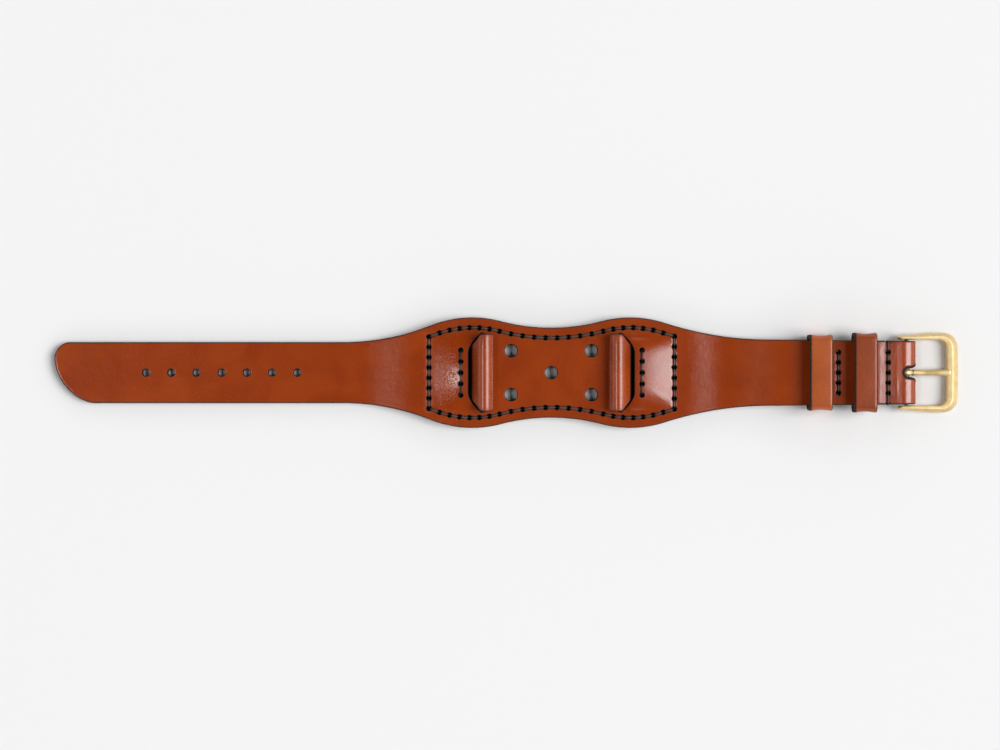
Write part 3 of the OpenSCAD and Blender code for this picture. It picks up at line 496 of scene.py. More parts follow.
def strap_faces(p):
    """Grain side and flesh side of the band at its flat points (s, y), and how deep their rims are sunk.

    The band is level over the pad and comes back under itself round the bar: inside on a half circle,
    outside on a quarter of an oval from its crest and then a quarter circle."""
    s, y = p.T
    x = band_x(s)
    turn = np.clip((s - BAR_X) / FOLD_R, 0, np.pi)
    near_bar = smooth((x - DROP_X) / (BAR_X - DROP_X))
    main, flap = s < BAR_X, s > BAR_X + FOLD_LEN
    buckle_cut = 1 - smooth((np.abs(s - BUCKLE_ROW_X) - 0.35) / np.where(s < BUCKLE_ROW_X, 2.6, 1.6))
    cut = np.maximum.reduce([groove_depth(reach(p, ring_holes)), buckle_cut,
                             groove_depth(from_row(p, KEEPER_ROW_X, END_HALF))])
    pinch = np.exp(-((y + 3.9) / 2.6) ** 2) + 0.7 * np.exp(-((y - 7.0) / 0.45) ** 2) + 0.15
    top = under_z(x) + STRAP_T + swelling(x, y) - GROOVE * cut * main
    top = top + 0.1 * np.exp(-((s - 94.2) / 0.36) ** 2) * pinch * main
    low = under_z(x) + BAR_R * near_bar + pocket(x, y)
    bottom = flap_low(x)
    flap_top = np.where(near_bar > 0, 2.5 - 0.85 * near_bar, bottom + FLAP_T)
    flap_cut = np.maximum(groove_depth(np.abs(s - back_to(BUCKLE_ROW_X))),
                          groove_depth(from_row(p, back_to(KEEPER_ROW_X), END_HALF)))
    bottom = bottom + FLAP_GROOVE * flap_cut
    over = (x > FOLD_CREST) & (s < BAR_X + FOLD_LEN / 2)
    oval = np.sqrt(np.maximum(1 - ((x - FOLD_CREST) / (FOLD_END - FOLD_CREST)) ** 2, 0))
    outer = np.stack([x, y, np.select([over, main, flap], [BAR_Z + FOLD_R * oval, top, bottom],
                                      BAR_Z + FOLD_R * np.cos(turn))], 1)
    inner = np.stack([
        np.where(main | flap, x, BAR_X + BAR_R * np.sin(turn)), y,
        np.select([main, flap], [low, flap_top], BAR_Z + BAR_R * np.cos(turn))], 1)
    sink = sunk_rims(p, STRAP_OUTLINE, OUT_RIM, STRAP_ROUNDS, STRAP_CUTS) * np.where(flap, FLAP_RIM, 1.0)
    return outer, inner, sink, FLESH_RIM * sink


def sunk_rims(p, outline, out_r, rounds, cuts=()):
    """Depth of the rounded rims at the outline and at every opening."""
    sink = rim(reach(p, outline), out_r)
    for centres, r, _, round_r, _ in rounds:
        sink = np.maximum(sink, rim(from_rings(p, centres, r), round_r))
    for line, *_ in cuts:
        sink = np.maximum(sink, rim(reach(p, line(0)), CUT_RIM))
    return sink


def edge_nearness(p, outline, fade, rounds, cuts=()):
    """Nearness to a burnished edge: 0 on it and 1 where its dark stain ends."""
    near = reach(p, outline) / fade
    for centres, r, _, _, stain in rounds:
        near = np.minimum(near, from_rings(p, centres, r) / stain)
    for line, solid, stain in cuts:
        near = np.minimum(near, np.maximum(reach(p, line(0)) - solid, 0) / stain)
    return np.clip(near, 0, STAIN_END)


def strap_edge(p):
    """Nearness to the band's burnished edges, and to its stitch grooves, where the same dark stain is painted
    shade.
    """
    groove = np.minimum.reduce([reach(p, ring_holes), from_row(p, KEEPER_ROW_X, END_HALF),
                                from_row(p, BUCKLE_ROW_X, PAST_EDGE)])
    near = edge_nearness(p, STRAP_OUTLINE, OUT_STAIN, STRAP_ROUNDS, STRAP_CUTS)
    # The grooves' dark stain is painted shade.
    return np.minimum(near, np.maximum((groove - GROOVE_SHADE_REACH) / GROOVE_SHADE_FADE, 0))


def spread(start, stop, half, step):
    """Points of a triangular net over one stretch of the strap."""
    xs, ys = np.arange(start, stop, step), np.arange(-half, half, step * 0.866)
    gx, gy = np.meshgrid(xs, ys)
    gx = gx + step / 2 * (np.arange(len(ys)) % 2)[:, None]
    return np.stack([gx.ravel(), gy.ravel()], 1)


def free_points(outline, rounds, cuts, lines, nets):
    """Points between the rims: rings beside the outline and each opening, lines beside grooves, and nets."""
    rings = []
    for d in OUT_STEPS:
        ring = offset(outline, -d)
        rings.append(ring[reach(ring, outline) > 0.9 * d])
    for centres, r, n, *_ in rounds:
        rings += [np.vstack(circles(centres, r + d, n)) for d in HOLE_STEPS]
    for line, *_ in cuts:
        rings += [line(d) for d in HOLE_STEPS]
    loose = np.vstack(lines + [spread(*net) for net in nets])
    loose = loose[inside(loose, outline)]
    loose = loose[reach(loose, outline) > OUT_STEPS[-1] + 0.2]
    clear = HOLE_STEPS[-1] + 0.12
    for centres, r, *_ in rounds:
        loose = loose[from_rings(loose, centres, r) > clear]
    for line, *_ in cuts:
        loose = loose[~inside(loose, line(0))]
        loose = loose[reach(loose, line(0)) > clear]
    return rings + [loose]


def sheet(outline, rounds, cuts, lines, nets, faces_at, edge_at):
    """A sheet of leather with its openings, as plate makes it."""
    loops = [outline] + [ring for centres, r, n, *_ in rounds for ring in circles(centres, r, n)]
    loops += [line(0) for line, *_ in cuts]
    return plate(loops, free_points(outline, rounds, cuts, lines, nets), faces_at, edge_at)


def groove_lines(line, closed=True):
    """Rows of points beside a groove's middle line."""
    return [resampled(offset(ccw(line), d) if closed else line + (d, 0), GROOVE_POINTS, closed)
            for d in GROOVE_STEPS]


def across(s, w):
    """A straight line across the band at length s."""
    return np.array([[s, -w], [s, w]], float)


# Materials

def linear(r, g, b):
    """Scene colour of an sRGB colour given as 0 to 255."""
    c = np.array([r, g, b]) / 255
    return tuple(np.where(c <= 0.04045, c / 12.92, ((c + 0.055) / 1.055) ** 2.4)) + (1.0,)


def fill(tree, sockets, values):
    """Sockets set to values or joined to other nodes' outputs."""
    for key, value in values.items():
        if isinstance(value, bpy.types.NodeSocket):
            tree.links.new(value, sockets[key])
        else:
            sockets[key].default_value = value


def add(tree, kind, inputs=None, **settings):
    """A node with its settings and its inputs."""
    made = tree.nodes.new("ShaderNode" + kind)
    for key, value in settings.items():
        setattr(made, key, value)
    fill(tree, made.inputs, inputs or {})
    return made


def blend_colour(tree, factor, a, b):
    """Mix of two colours."""
    return add(tree, "Mix", {0: factor, 6: a, 7: b}, data_type="RGBA").outputs[2]


def remap(tree, value, a, b, c=0.0, d=1.0):
    """Value carried from the range a to b onto the range c to d, along a smooth step."""
    return add(tree, "MapRange", {"Value": value, "From Min": a, "From Max": b, "To Min": c, "To Max": d},
               interpolation_type="SMOOTHSTEP").outputs["Result"]


def calc(tree, kind, *values):
    """One arithmetic step."""
    return add(tree, "Math", dict(enumerate(values)), operation=kind).outputs[0]


def plus(tree, a, b):
    """Sum of two values."""
    return calc(tree, "ADD", a, b)


def times(tree, first, *others):
    """Product of several values."""
    for value in others:
        first = calc(tree, "MULTIPLY", first, value)
    return first


def left_by(tree, share):
    """What a share leaves of the whole."""
    return calc(tree, "SUBTRACT", 1.0, share)


def vector(tree, kind, *values):
    """One step with vectors."""
    return add(tree, "VectorMath", dict(enumerate(values)), operation=kind).outputs[0]


def parts_of(tree, value):
    """X, Y and Z of a vector."""
    return add(tree, "SeparateXYZ", {0: value}).outputs


def place(tree):
    """Object coordinates."""
    return add(tree, "TexCoord").outputs["Object"]


def millimetres(tree):
    """Object coordinates in millimetres."""
    return vector(tree, "MULTIPLY", place(tree), (1000, 1000, 1000))


def noise(tree, at, scale, detail, rough=0.5, bend=0.0, output="Fac"):
    """Soft noise: its scale, its number of finer layers, how strong they are and how far it is bent."""
    return add(tree, "TexNoise", {"Vector": at, "Scale": scale, "Detail": detail, "Roughness": rough,
                                  "Distortion": bend}).outputs[output]


def cells(tree, at, scale, even, feature):
    """Distance in a pattern of cells, to their edges or to their middles."""
    return add(tree, "TexVoronoi", {"Vector": at, "Scale": scale, "Randomness": even},
               feature=feature).outputs["Distance"]


def attribute(tree, name):
    """Value that the mesh carries at each of its points."""
    return add(tree, "Attribute", attribute_name=name, attribute_type="GEOMETRY").outputs["Fac"]


def bump(tree, height, strength, depth):
    """Normal of a skin raised by the height, its depth in millimetres."""
    return add(tree, "Bump", {"Height": height, "Strength": strength, "Distance": depth * MM}).outputs["Normal"]


def effect(name, ins, outs):
    """An empty node group with number inputs and outputs, and the sockets inside it."""
    tree = bpy.data.node_groups.new(name, "ShaderNodeTree")
    for key, value in ins.items():
        tree.interface.new_socket(key, in_out="INPUT", socket_type="NodeSocketFloat").default_value = value
    for key in outs:
        tree.interface.new_socket(key, in_out="OUTPUT", socket_type="NodeSocketFloat")
    return tree, tree.nodes.new("NodeGroupInput").outputs, tree.nodes.new("NodeGroupOutput").inputs


def grain_effect():
    """Leather grain: pores in small cells, fine creases between them, and slow changes of tone."""
    tree, ins, outs = effect("leather_grain", {"Pores": 2.6, "Shift": 0.0}, ("Height", "Tone", "Fleck"))
    at = vector(tree, "ADD", millimetres(tree), ins["Shift"])
    bent = noise(tree, at, 0.8, 3.0, 0.6, output="Color")
    wavy = vector(tree, "MULTIPLY_ADD", bent, (0.9, 0.9, 0.9), at)
    plates = remap(tree, cells(tree, wavy, ins["Pores"], 1.0, "DISTANCE_TO_EDGE"), 0.0, 0.22)
    pits = remap(tree, cells(tree, at, ins["Pores"], 0.9, "F1"), 0.05, 0.3)
    creases = times(tree, noise(tree, wavy, 0.9, 4.0, 0.6, 0.4), 1.3)
    waves = times(tree, noise(tree, at, 0.22, 3.0, 0.74), 6.0)
    fill(tree, outs, {
        "Height": plus(tree, plus(tree, times(tree, plates, 0.28), times(tree, pits, 0.14)),
                       plus(tree, creases, waves)),
        "Tone": remap(tree, noise(tree, at, 0.075, 4.0, 0.55, 0.7), 0.3, 0.7),
        "Fleck": remap(tree, noise(tree, at, 1.7, 5.0, 0.7), 0.35, 0.68)})
    return tree


def edge_effect():
    """Burnished edge: a stain that fades inwards from each cut edge along an uneven line; the same stain is
    painted shade in the stitch grooves, round the stitch holes, at the tongue's slot and on the loops' necks.

    Side runs from 0 on the grain face to 1 on the flesh face; a trace of it marks skin rubbed dull by
    a seam."""
    tree, _, outs = effect("burnished_edge_and_shade", {}, ("StainAndShade", "Wall", "Flesh", "Rubbed"))
    edge, side = attribute(tree, "edge"), attribute(tree, "side")
    drift = calc(tree, "SUBTRACT", noise(tree, millimetres(tree), 1.3, 4.0), 0.5)
    near = plus(tree, edge, times(tree, drift, 0.3))
    fill(tree, outs, {
        "StainAndShade": remap(tree, near, 0.15, 1.0, 1.0, 0.0), "Wall": remap(tree, side, 0.02, 0.12),
        "Rubbed": remap(tree, side, 0.0, 0.012), "Flesh": remap(tree, side, 0.93, 0.99)})
    return tree


GRAIN, EDGE = grain_effect(), edge_effect()


def group(tree, shared, **values):
    """One use of a shared effect."""
    made = tree.nodes.new("ShaderNodeGroup")
    made.node_tree = shared
    fill(tree, made.inputs, values)
    return made.outputs


def material(name):
    """A new material: its tree and its shader's inputs."""
    made = bpy.data.materials.new(name)
    made.use_nodes = True
    return made, made.node_tree, made.node_tree.nodes["Principled BSDF"].inputs


def leather(name, light, dark, stain, flesh, rough, coat, pores, depth=0.016, shift=0.0, drawn=0.0):
    """Leather whose tone drifts from light to dark, with grain, stained edges, the same dark stain as painted
    shade in grooves and slots, and a paler flesh side.

    Drawn is how strongly it creases across where it is pulled round the buckle's bar, and pebbles where it is
    pulled tight over the left loop's ends."""
    made, tree, skin = material(name)
    grain, edge = group(tree, GRAIN, Pores=pores, Shift=shift), group(tree, EDGE)
    tone = plus(tree, times(tree, grain["Tone"], 0.62), times(tree, grain["Fleck"], 0.38))
    base = blend_colour(tree, edge["Flesh"], blend_colour(tree, tone, light, dark), flesh)
    wall = times(tree, edge["Wall"], left_by(tree, edge["Flesh"]))
    marked = calc(tree, "MAXIMUM", edge["StainAndShade"], wall)
    burnished = calc(tree, "MINIMUM", times(tree, marked, 2.5), 1.0)
    dull = calc(tree, "MAXIMUM", burnished, edge["Rubbed"])
    shine = plus(tree, times(tree, grain["Fleck"], 0.1), rough)
    matt = plus(tree, shine, times(tree, edge["Flesh"], 0.35))
    coarse = calc(tree, "MAXIMUM", times(tree, burnished, 0.5), times(tree, edge["Rubbed"], 0.12))
    gloss, height = times(tree, left_by(tree, dull), coat), grain["Height"]
    if drawn:
        at = millimetres(tree)
        x = parts_of(tree, at)["X"]
        there = times(tree, remap(tree, x, 87.5, 89.5), remap(tree, x, 96.0, 94.6))
        streak = noise(tree, vector(tree, "MULTIPLY", at, (1.9, 0.3, 0.3)), 1.0, 4.0, 0.65, 0.8)
        tight = times(tree, remap(tree, x, -32.0, -29.5), remap(tree, x, -25.2, -26.2))
        pebble = noise(tree, at, 2.1, 1.0)
        height = plus(tree, height, times(tree, there, drawn, streak))
        height = plus(tree, height, times(tree, tight, 0.75 * drawn, pebble))
        worn = calc(tree, "MAXIMUM", times(tree, tight, remap(tree, pebble, 0.45, 0.53, 0.0, 0.95)),
                    times(tree, there, remap(tree, streak, 0.42, 0.6, 0.0, 0.75)))
        gloss = times(tree, gloss, left_by(tree, worn))
    fill(tree, skin, {
        "Base Color": blend_colour(tree, marked, base, stain), "Roughness": plus(tree, matt, coarse),
        "Coat Weight": gloss, "Coat Roughness": 0.14, "Specular IOR Level": 0.38,
        "Normal": bump(tree, height, 1.0, depth)})
    return made


def thread_material():
    """Waxed grey-brown thread with a fine fibre; painted shade between its strands and, near black, inside the
    leather.
    """
    made, tree, skin = material("waxed_thread")
    at = millimetres(tree)
    fibre = noise(tree, at, 14.0, 3.0)
    base = blend_colour(tree, noise(tree, at, 1.4, 4.0), linear(118, 86, 74), linear(70, 50, 43))
    # Painted shade: darker in the hollows between the strands
    base = blend_colour(tree, remap(tree, attribute(tree, "edge"), 0.0, 0.8), linear(34, 24, 19), base)
    # Painted shade: near black where the thread runs inside the leather
    base = blend_colour(tree, remap(tree, attribute(tree, "side"), 0.0, 0.9), base, linear(10, 8, 7))
    fill(tree, skin, {"Base Color": base, "Roughness": remap(tree, fibre, 0.2, 0.8, 0.38, 0.62),
                      "Normal": bump(tree, fibre, 0.6, 0.02)})
    return made


def brushed(name, light, dark, rough, stretch):
    """Metal with fine brushing, tarnish that gathers slowly and a faint hammered unevenness."""
    made, tree, skin = material(name)
    at = millimetres(tree)
    brush = noise(tree, vector(tree, "MULTIPLY", at, stretch), 9.0, 4.0, 0.6)
    cloud = remap(tree, noise(tree, at, 0.6, 5.0, 0.6), 0.35, 0.7)
    height = plus(tree, times(tree, brush, 0.35), noise(tree, at, 3.2, 2.0))
    fill(tree, skin, {
        "Base Color": blend_colour(tree, cloud, light, dark), "Metallic": 1.0,
        "Roughness": remap(tree, brush, 0.25, 0.75, rough - 0.06, rough + 0.08),
        "Normal": bump(tree, height, 0.8, 0.009)})
    return made


NEAR_BLACK, DARK_BROWN = linear(24, 12, 9), linear(34, 18, 14)
STRAP_FLESH, KEEPER_FLESH = linear(150, 100, 66), linear(160, 108, 70)
strap_leather = leather("strap_leather", linear(158, 62, 12), linear(137, 47, 3), NEAR_BLACK, STRAP_FLESH,
                        rough=0.19, coat=0.8, pores=2.6, drawn=8.0)
keeper_leather = leather("keeper_leather", linear(178, 88, 38), linear(152, 68, 26), DARK_BROWN, KEEPER_FLESH,
                         rough=0.27, coat=0.1, pores=2.3, shift=31.0)
held_leather = leather("held_keeper_leather", linear(158, 74, 34), linear(132, 56, 24), DARK_BROWN,
                       KEEPER_FLESH, rough=0.27, coat=0.15, pores=2.4, shift=44.0)
loop_leather = leather("loop_leather", linear(164, 68, 20), linear(140, 50, 9), NEAR_BLACK, STRAP_FLESH,
                       rough=0.24, coat=0.45, pores=2.8, shift=57.0)
lining_leather = leather("lining_leather", linear(200, 158, 114), linear(176, 130, 88), linear(70, 40, 24),
                         linear(196, 152, 108), rough=0.6, coat=0.0, pores=2.0, depth=0.03, shift=83.0)
thread = thread_material()
brass = brushed("satin_brass", linear(230, 205, 155), linear(220, 193, 141), 0.5, (0.15, 1, 1))
steel = brushed("satin_steel", linear(96, 90, 84), linear(60, 55, 50), 0.42, (1, 0.15, 1))


# Strap and lining

def strap_skin():
    """The long band with all its holes, slots and grooves; its grain is dull beside two of the seams."""
    lines = groove_lines(ring_holes)
    for at, half in ((BUCKLE_ROW_X, PAST_EDGE), (KEEPER_ROW_X, END_ROW_HALF)):
        for s in (at, back_to(at)):
            lines += groove_lines(across(s, half), closed=False)
    verts, faces, near, side = sheet(STRAP_OUTLINE, STRAP_ROUNDS, STRAP_CUTS, lines, STRAP_NETS, strap_faces,
                                     strap_edge)
    beside_ring = (reach(verts[:, :2], ring_holes) < RUBBED_REACH) & (verts[:, 0] < RUBBED_X)
    beside_row = np.abs(verts[:, 0] - KEEPER_ROW_X) < RUBBED_HALF
    beside_row &= np.abs(verts[:, 1]) < END_HALF + 0.6
    rubbed = (beside_ring | beside_row) & (side == 0)
    return verts, faces, near, np.where(rubbed, RUBBED_MARK, side)


def lining_skin():
    """The sewn lining, its wrist side rounded at the edge, with grooves under both kinds of stitching."""
    x = np.linspace(-LINING_HALF, LINING_HALF, 200)
    upper = np.stack([x, half_w(x)], 1)
    outline = ccw(resampled(np.vstack([upper * FLIP, upper[::-1]]), 0.7))
    lines = groove_lines(ring_holes)
    for at in (-LOOP_ROW_X, LOOP_ROW_X):
        lines += groove_lines(across(at, LOOP_ROW_HALF), closed=False)

    def faces_at(p):
        cut = np.maximum(groove_depth(reach(p, ring_holes)),
                         groove_depth(from_row(np.abs(p), LOOP_ROW_X, LOOP_HALF)))
        sink = sunk_rims(p, outline, LINING_RIM, LINING_ROUNDS)
        return (np.column_stack([p, np.full(len(p), LINING_T)]), np.column_stack([p, UNDER_GROOVE * cut]),
                0 * sink, sink * (1 - 0.6 * cut))

    def edge_at(p):
        return edge_nearness(p, outline, LINING_STAIN, LINING_ROUNDS)

    points, faces, edge, side = sheet(outline, LINING_ROUNDS, (), lines, LINING_NETS, faces_at, edge_at)
    return points, faces, edge, np.where(side > 0.99, 0, np.where(side < 0.01, 1, side))


mesh_piece("strap_band", [strap_skin()], strap_leather, "strap", ["main_strap"])
mesh_piece("sewn_lining", [lining_skin()], lining_leather, "strap", ["pad_lining"])


# Rolled pieces: a side view carried across the strap, with a bore

ROLLED_STAIN, BORE_STAIN = 0.45, 0.3


def rolled(outline, bore, width, round_r, rows=9):
    """A solid whose side view is outline with a round bore, as wide at each place as width(x) says.

    The skin runs across in rows; near both ends it sinks by a rounded edge, and flat caps close it."""
    share = np.array([0, 0.06, 0.2, 0.42, 0.7, 1.0])
    cx, cz, r = bore
    ring = arc(cx, cz, r, 0, 360, 49)[:-1]

    def skin(line, inward):
        w = width(line[:, 0])[:, None]
        t = np.linspace(-1, 1, rows)[None, 1:-1]
        near = np.concatenate([share, np.full(rows - 2, 2.0), share[::-1]])
        y = np.hstack([share * round_r - w, t * (w - round_r), w - share[::-1] * round_r])
        sunk = rim(near * round_r, round_r)
        p = line[:, None] + sunk[None, :, None] * inward[:, None]
        return np.stack([p[..., 0], y, p[..., 1]], 2), np.broadcast_to(near * round_r, y.shape)

    body, near = skin(outline, outline - offset(outline, 1.0))
    hole, near_hole = skin(ring, unit(ring - (cx, cz)))
    k = body.shape[1]
    skins = [
        (body.reshape(-1, 3), [grid_faces(len(outline), k, wrap_u=True)[:, ::-1]], near.ravel() / ROLLED_STAIN,
         np.zeros(near.size)),
        (hole.reshape(-1, 3), [grid_faces(len(ring), k, wrap_u=True)], near_hole.ravel() / BORE_STAIN,
         np.ones(near_hole.size)),
    ]
    for end in (0, k - 1):
        pts, tri, (o, i) = triangles([body[:, end][:, [0, 2]], hole[:, end][:, [0, 2]]], [])
        y = np.zeros(len(pts))
        y[o], y[i] = body[:, end, 1], hole[:, end, 1]
        skins.append((np.column_stack([pts[:, 0], y, pts[:, 1]]), [tri if end == 0 else tri[:, ::-1]],
                      np.zeros(len(pts)), np.full(len(pts), 0.5)))
    return skins


def loop_outline():
    """Side view of one strip: the tube round the watch's bar, the neck and the sewn end."""
    high, low, neck = LINING_T + STRIP_HIGH, LINING_T + 0.05, SLOT_OUT - 0.15
    t = np.radians(30)
    start = np.array([LOOP_X + LOOP_R * np.cos(t), LOOP_Z + LOOP_R * np.sin(t)])
    tube = arc(LOOP_X, LOOP_Z, LOOP_R, 270, 30, 49)
    outer = bezier(start, start + 1.8 * np.array([np.sin(t), -np.cos(t)]), (SLOT_OUT - 0.85, 4.5),
                   (neck, high), 24)
    inner = bezier((SLOT_OUT - 1, low), (SLOT_OUT - 2.6, low), (LOOP_X + 1.2, LOOP_Z - LOOP_R),
                   (LOOP_X, LOOP_Z - LOOP_R), 18)
    tip = [[STRIP_NECK, high], [STRIP_END, LINING_T + STRIP_LOW], [STRIP_END, low]]
    line = np.vstack([tube, outer[1:], tip, inner[:-1]])
    return ccw(resampled(line, 0.22))


def loop_width(x):
    """Half-width of one strip: full over the tube, slanting in along the slot's corners, then the sewn end."""
    past = x - 19.2
    slant = LOOP_LEN / 2 - 1.2 * (0.5 * (past + np.sqrt(past * past + 0.06)) - 0.03)
    return np.maximum(np.minimum(slant, LOOP_LEN / 2), 7.35) + 0.95 * smooth((x - 22.2) / 1.2)


for side, name in ((-1, "left"), (1, "right")):
    skins = []
    for points, faces, near, wall in rolled(loop_outline(), (LOOP_X, LOOP_Z, BORE_R), loop_width, 0.32):
        # Painted shade: the strip's neck low inside the slot is stained as dark as a cut edge
        slot_shade = smooth((points[:, 0] - 20.6) / 0.9) * smooth((5.3 - points[:, 2]) / 0.9)
        near = near * (1 - slot_shade)
        if side < 0:
            points, faces = points * (-1, 1, 1), [f[:, ::-1] for f in faces]
        skins.append((points, faces, near, wall))
    mesh_piece(name + "_watch_loop", skins, loop_leather, "strap", [name + "_lug_loop"])


# Keepers

def soft_box(w, h, r, corner=12, flat=18):
    """Rounded rectangle about the origin: its four sides and corners, each with its own number of points."""
    x, y = w / 2 - r, h / 2 - r
    t = np.linspace(-1, 1, flat + 2)[1:-1]
    t = np.sign(t) * np.abs(t) ** 0.8
    turns = [arc(x, -y, r, -90, 0, corner), arc(x, y, r, 0, 90, corner),
             arc(-x, y, r, 90, 180, corner), arc(-x, -y, r, 180, 270, corner)]
    sides = [np.stack([np.full(flat, w / 2), y * t], 1), np.stack([-x * t, np.full(flat, h / 2)], 1),
             np.stack([np.full(flat, -w / 2), -y * t], 1), np.stack([x * t, np.full(flat, -h / 2)], 1)]
    return np.vstack([part for pair in zip(turns, sides) for part in pair])


KEEPER_W, KEEPER_T, FREE_X, FIXED_X = 6.2, 1.4, 73.2, 85.3
KEEPER_CURL, KEEPER_PLAY, FREE_UNDER, FIXED_UNDER = 0.38, 0.4, 1.1, 0.8
# Width of a keeper's dark edge on its side towards the buckle and towards the tail; the wider band on the
# tail side is partly dyed edge, partly painted shade on the side away from the light
STAIN_AHEAD, STAIN_AND_SHADE_BEHIND = 0.36, 0.8


def keeper_skin(x, outer_w, bottom, top, under, seam=True):
    """One keeper: a closed band whose section is a rounded slab, drawn in at the middle of both sides.

    The band's inner and outer outlines give each station; the slab's outline runs round both faces."""
    t, half, h = KEEPER_T, KEEPER_W / 2, top - bottom
    hollow = h - t - under
    outer = soft_box(outer_w, h, 2.0) + (0, bottom + h / 2)
    inner = soft_box(outer_w - 2 * t, hollow, 0.6) + (0, bottom + under + hollow / 2)
    slab_r, slab_a = 0.42, 0.7
    turn = np.radians(np.linspace(0, 90, 6))
    flat = np.linspace(-(half - slab_a), half - slab_a, 17)
    corner_a = half - slab_a + slab_a * np.sin(turn)
    corner_b = slab_r * (1 - np.cos(turn))
    across_a = np.concatenate([flat, corner_a[1:], corner_a[::-1][:-1]])
    across_a = np.concatenate([across_a, -across_a])
    sunk = np.tile(np.concatenate([0 * flat, corner_b[1:], corner_b[::-1][:-1]]), 2)
    n, k, m = len(flat), len(corner_a) - 1, len(across_a)
    on_top = np.arange(m) < n + k
    on_top[m - k:] = True
    away = unit(offset(outer, 1.0) - outer)
    through = unit(outer - inner)
    push = np.where(on_top, -sunk, sunk * 0.75)[None, :, None] * through[:, None]
    pos = np.where(on_top[None, :, None], outer[:, None], inner[:, None]) + push
    pull = np.abs(away[:, 0]) ** 1.5 * np.sign(away[:, 0])
    pos[..., 0] -= pull[:, None] * KEEPER_CURL * (1 - (across_a / half) ** 2) * on_top
    rise = 0.05 * np.cos(np.pi * across_a / KEEPER_W)
    pos[..., 1] += np.maximum(away[:, 1], 0)[:, None] * rise * on_top
    if seam:
        cut = 0.3 * np.exp(-(outer[:, 0] / 0.22) ** 2) * (away[:, 1] < -0.9)
        pos[..., 1] += cut[:, None] * on_top
    shape = pos.shape[:2]
    points = np.stack([np.broadcast_to(x + across_a, shape), pos[..., 0], pos[..., 1]], 2).reshape(-1, 3)
    # Wider dark band towards the tail: partly painted shade
    stain = np.where(across_a > 0, STAIN_AHEAD, STAIN_AND_SHADE_BEHIND)
    near = np.broadcast_to((half - np.abs(across_a)) / stain, shape).ravel()
    return points, [grid_faces(*shape, True, True)], near, np.broadcast_to(1.0 - on_top, shape).ravel()


free_top = ROOT_Z + STRAP_T + STRAP_T + KEEPER_PLAY + KEEPER_T
fixed_low, fixed_top = ROOT_Z - 0.85, free_top + 0.15
free_w = ROOT_W + 2.9
fixed_w = 2 * (float(half_w(FIXED_X)) + 0.8 + KEEPER_T)
mesh_piece("sliding_loop", [keeper_skin(FREE_X, free_w, 0.0, free_top, FREE_UNDER)], keeper_leather,
           "sliding_keeper", ["free_keeper"])
mesh_piece("held_loop", [keeper_skin(FIXED_X, fixed_w, fixed_low, fixed_top, FIXED_UNDER, seam=False)],
           held_leather, "strap", ["fixed_keeper"])


# Thread

THREAD_STEP = 0.24


def soft_path(corners, sides, closed, bend=0.8):
    """Path through corner points, each corner a quadratic curve cut in by the bend, and its side directions.

    Returns points an even step apart and the side direction at each, drawn evenly from corner to corner."""
    c = np.asarray(corners, float)
    nxt, prv = np.roll(c, -1, 0), np.roll(c, 1, 0)
    cut_out = np.minimum(bend, 0.45 * np.linalg.norm(nxt - c, axis=1))[:, None]
    cut_in = np.minimum(bend, 0.45 * np.linalg.norm(c - prv, axis=1))[:, None]
    a, b = c + cut_in * unit(prv - c), c + cut_out * unit(nxt - c)
    if not closed:
        a[0], b[-1] = c[0], c[-1]
    t = np.linspace(0, 1, 7)[None, :, None]
    path = ((1 - t) ** 2 * a[:, None] + 2 * t * (1 - t) * c[:, None] + t * t * b[:, None]).reshape(-1, 3)
    way = np.repeat(np.asarray(sides, float), 7, axis=0)
    if closed:
        path, way = np.vstack([path, path[:1]]), np.vstack([way, way[:1]])
    gap = np.linalg.norm(np.diff(path, axis=0), axis=1)
    keep = np.concatenate([[True], gap > 1e-6])
    path, way, run = path[keep], way[keep], np.concatenate([[0], np.cumsum(gap)])[keep]
    n = int(round(run[-1] / THREAD_STEP))
    at = np.linspace(0, run[-1], n + 1)
    if closed:
        at = at[:-1]
    put = [np.stack([np.interp(at, run, v[:, k]) for k in range(3)], 1) for v in (path, way)]
    return put[0], unit(put[1]), at, run[-1]


def twisted(corners, sides, levels, closed=False, r=THREAD_R, lay=1.9, round_n=12):
    """Three-strand thread along a path: radius r(0.93 + 0.09 cos 3(angle - turn)), wider outside the holes.

    Its marks are the hollows between the strands and the depth inside the leather, below the upper level
    and above the lower; the thread's material darkens both as painted shade."""
    path, way, at, total = soft_path(corners, sides, closed)
    ahead = np.roll(path, -1, 0) - np.roll(path, 1, 0)
    if not closed:
        ahead[0], ahead[-1] = path[1] - path[0], path[-1] - path[-2]
    ahead = unit(ahead)
    u = unit(way - (way * ahead).sum(1, keepdims=True) * ahead)
    v = np.cross(ahead, u)
    if closed:
        lay = total / round(3 * total / lay) * 3
    angle = np.linspace(0, 2 * np.pi, round_n, endpoint=False)[None]
    wave = np.cos(3 * (angle - 2 * np.pi * at[:, None] / lay))
    reach_r = (r * (0.93 + 0.09 * wave))[..., None]
    deep = smooth(np.minimum(levels[1] - path[:, 2], path[:, 2] - levels[0]) / 0.14)
    wide = (1.22 - 0.22 * deep)[:, None, None] * np.cos(angle)[..., None]
    pts = path[:, None] + reach_r * (wide * u[:, None] + np.sin(angle)[..., None] * v[:, None])
    faces = [grid_faces(len(path), round_n, closed, True)]
    flat, near = pts.reshape(-1, 3), ((wave + 1) / 2).ravel()
    deep = np.repeat(deep, round_n)
    if not closed:
        faces += end_fans(len(flat), round_n)
        flat = np.vstack([flat, path[:1], path[-1:]])
        near, deep = np.append(near, [0, 0]), np.append(deep, [0, 0])
    return flat, faces, near, deep


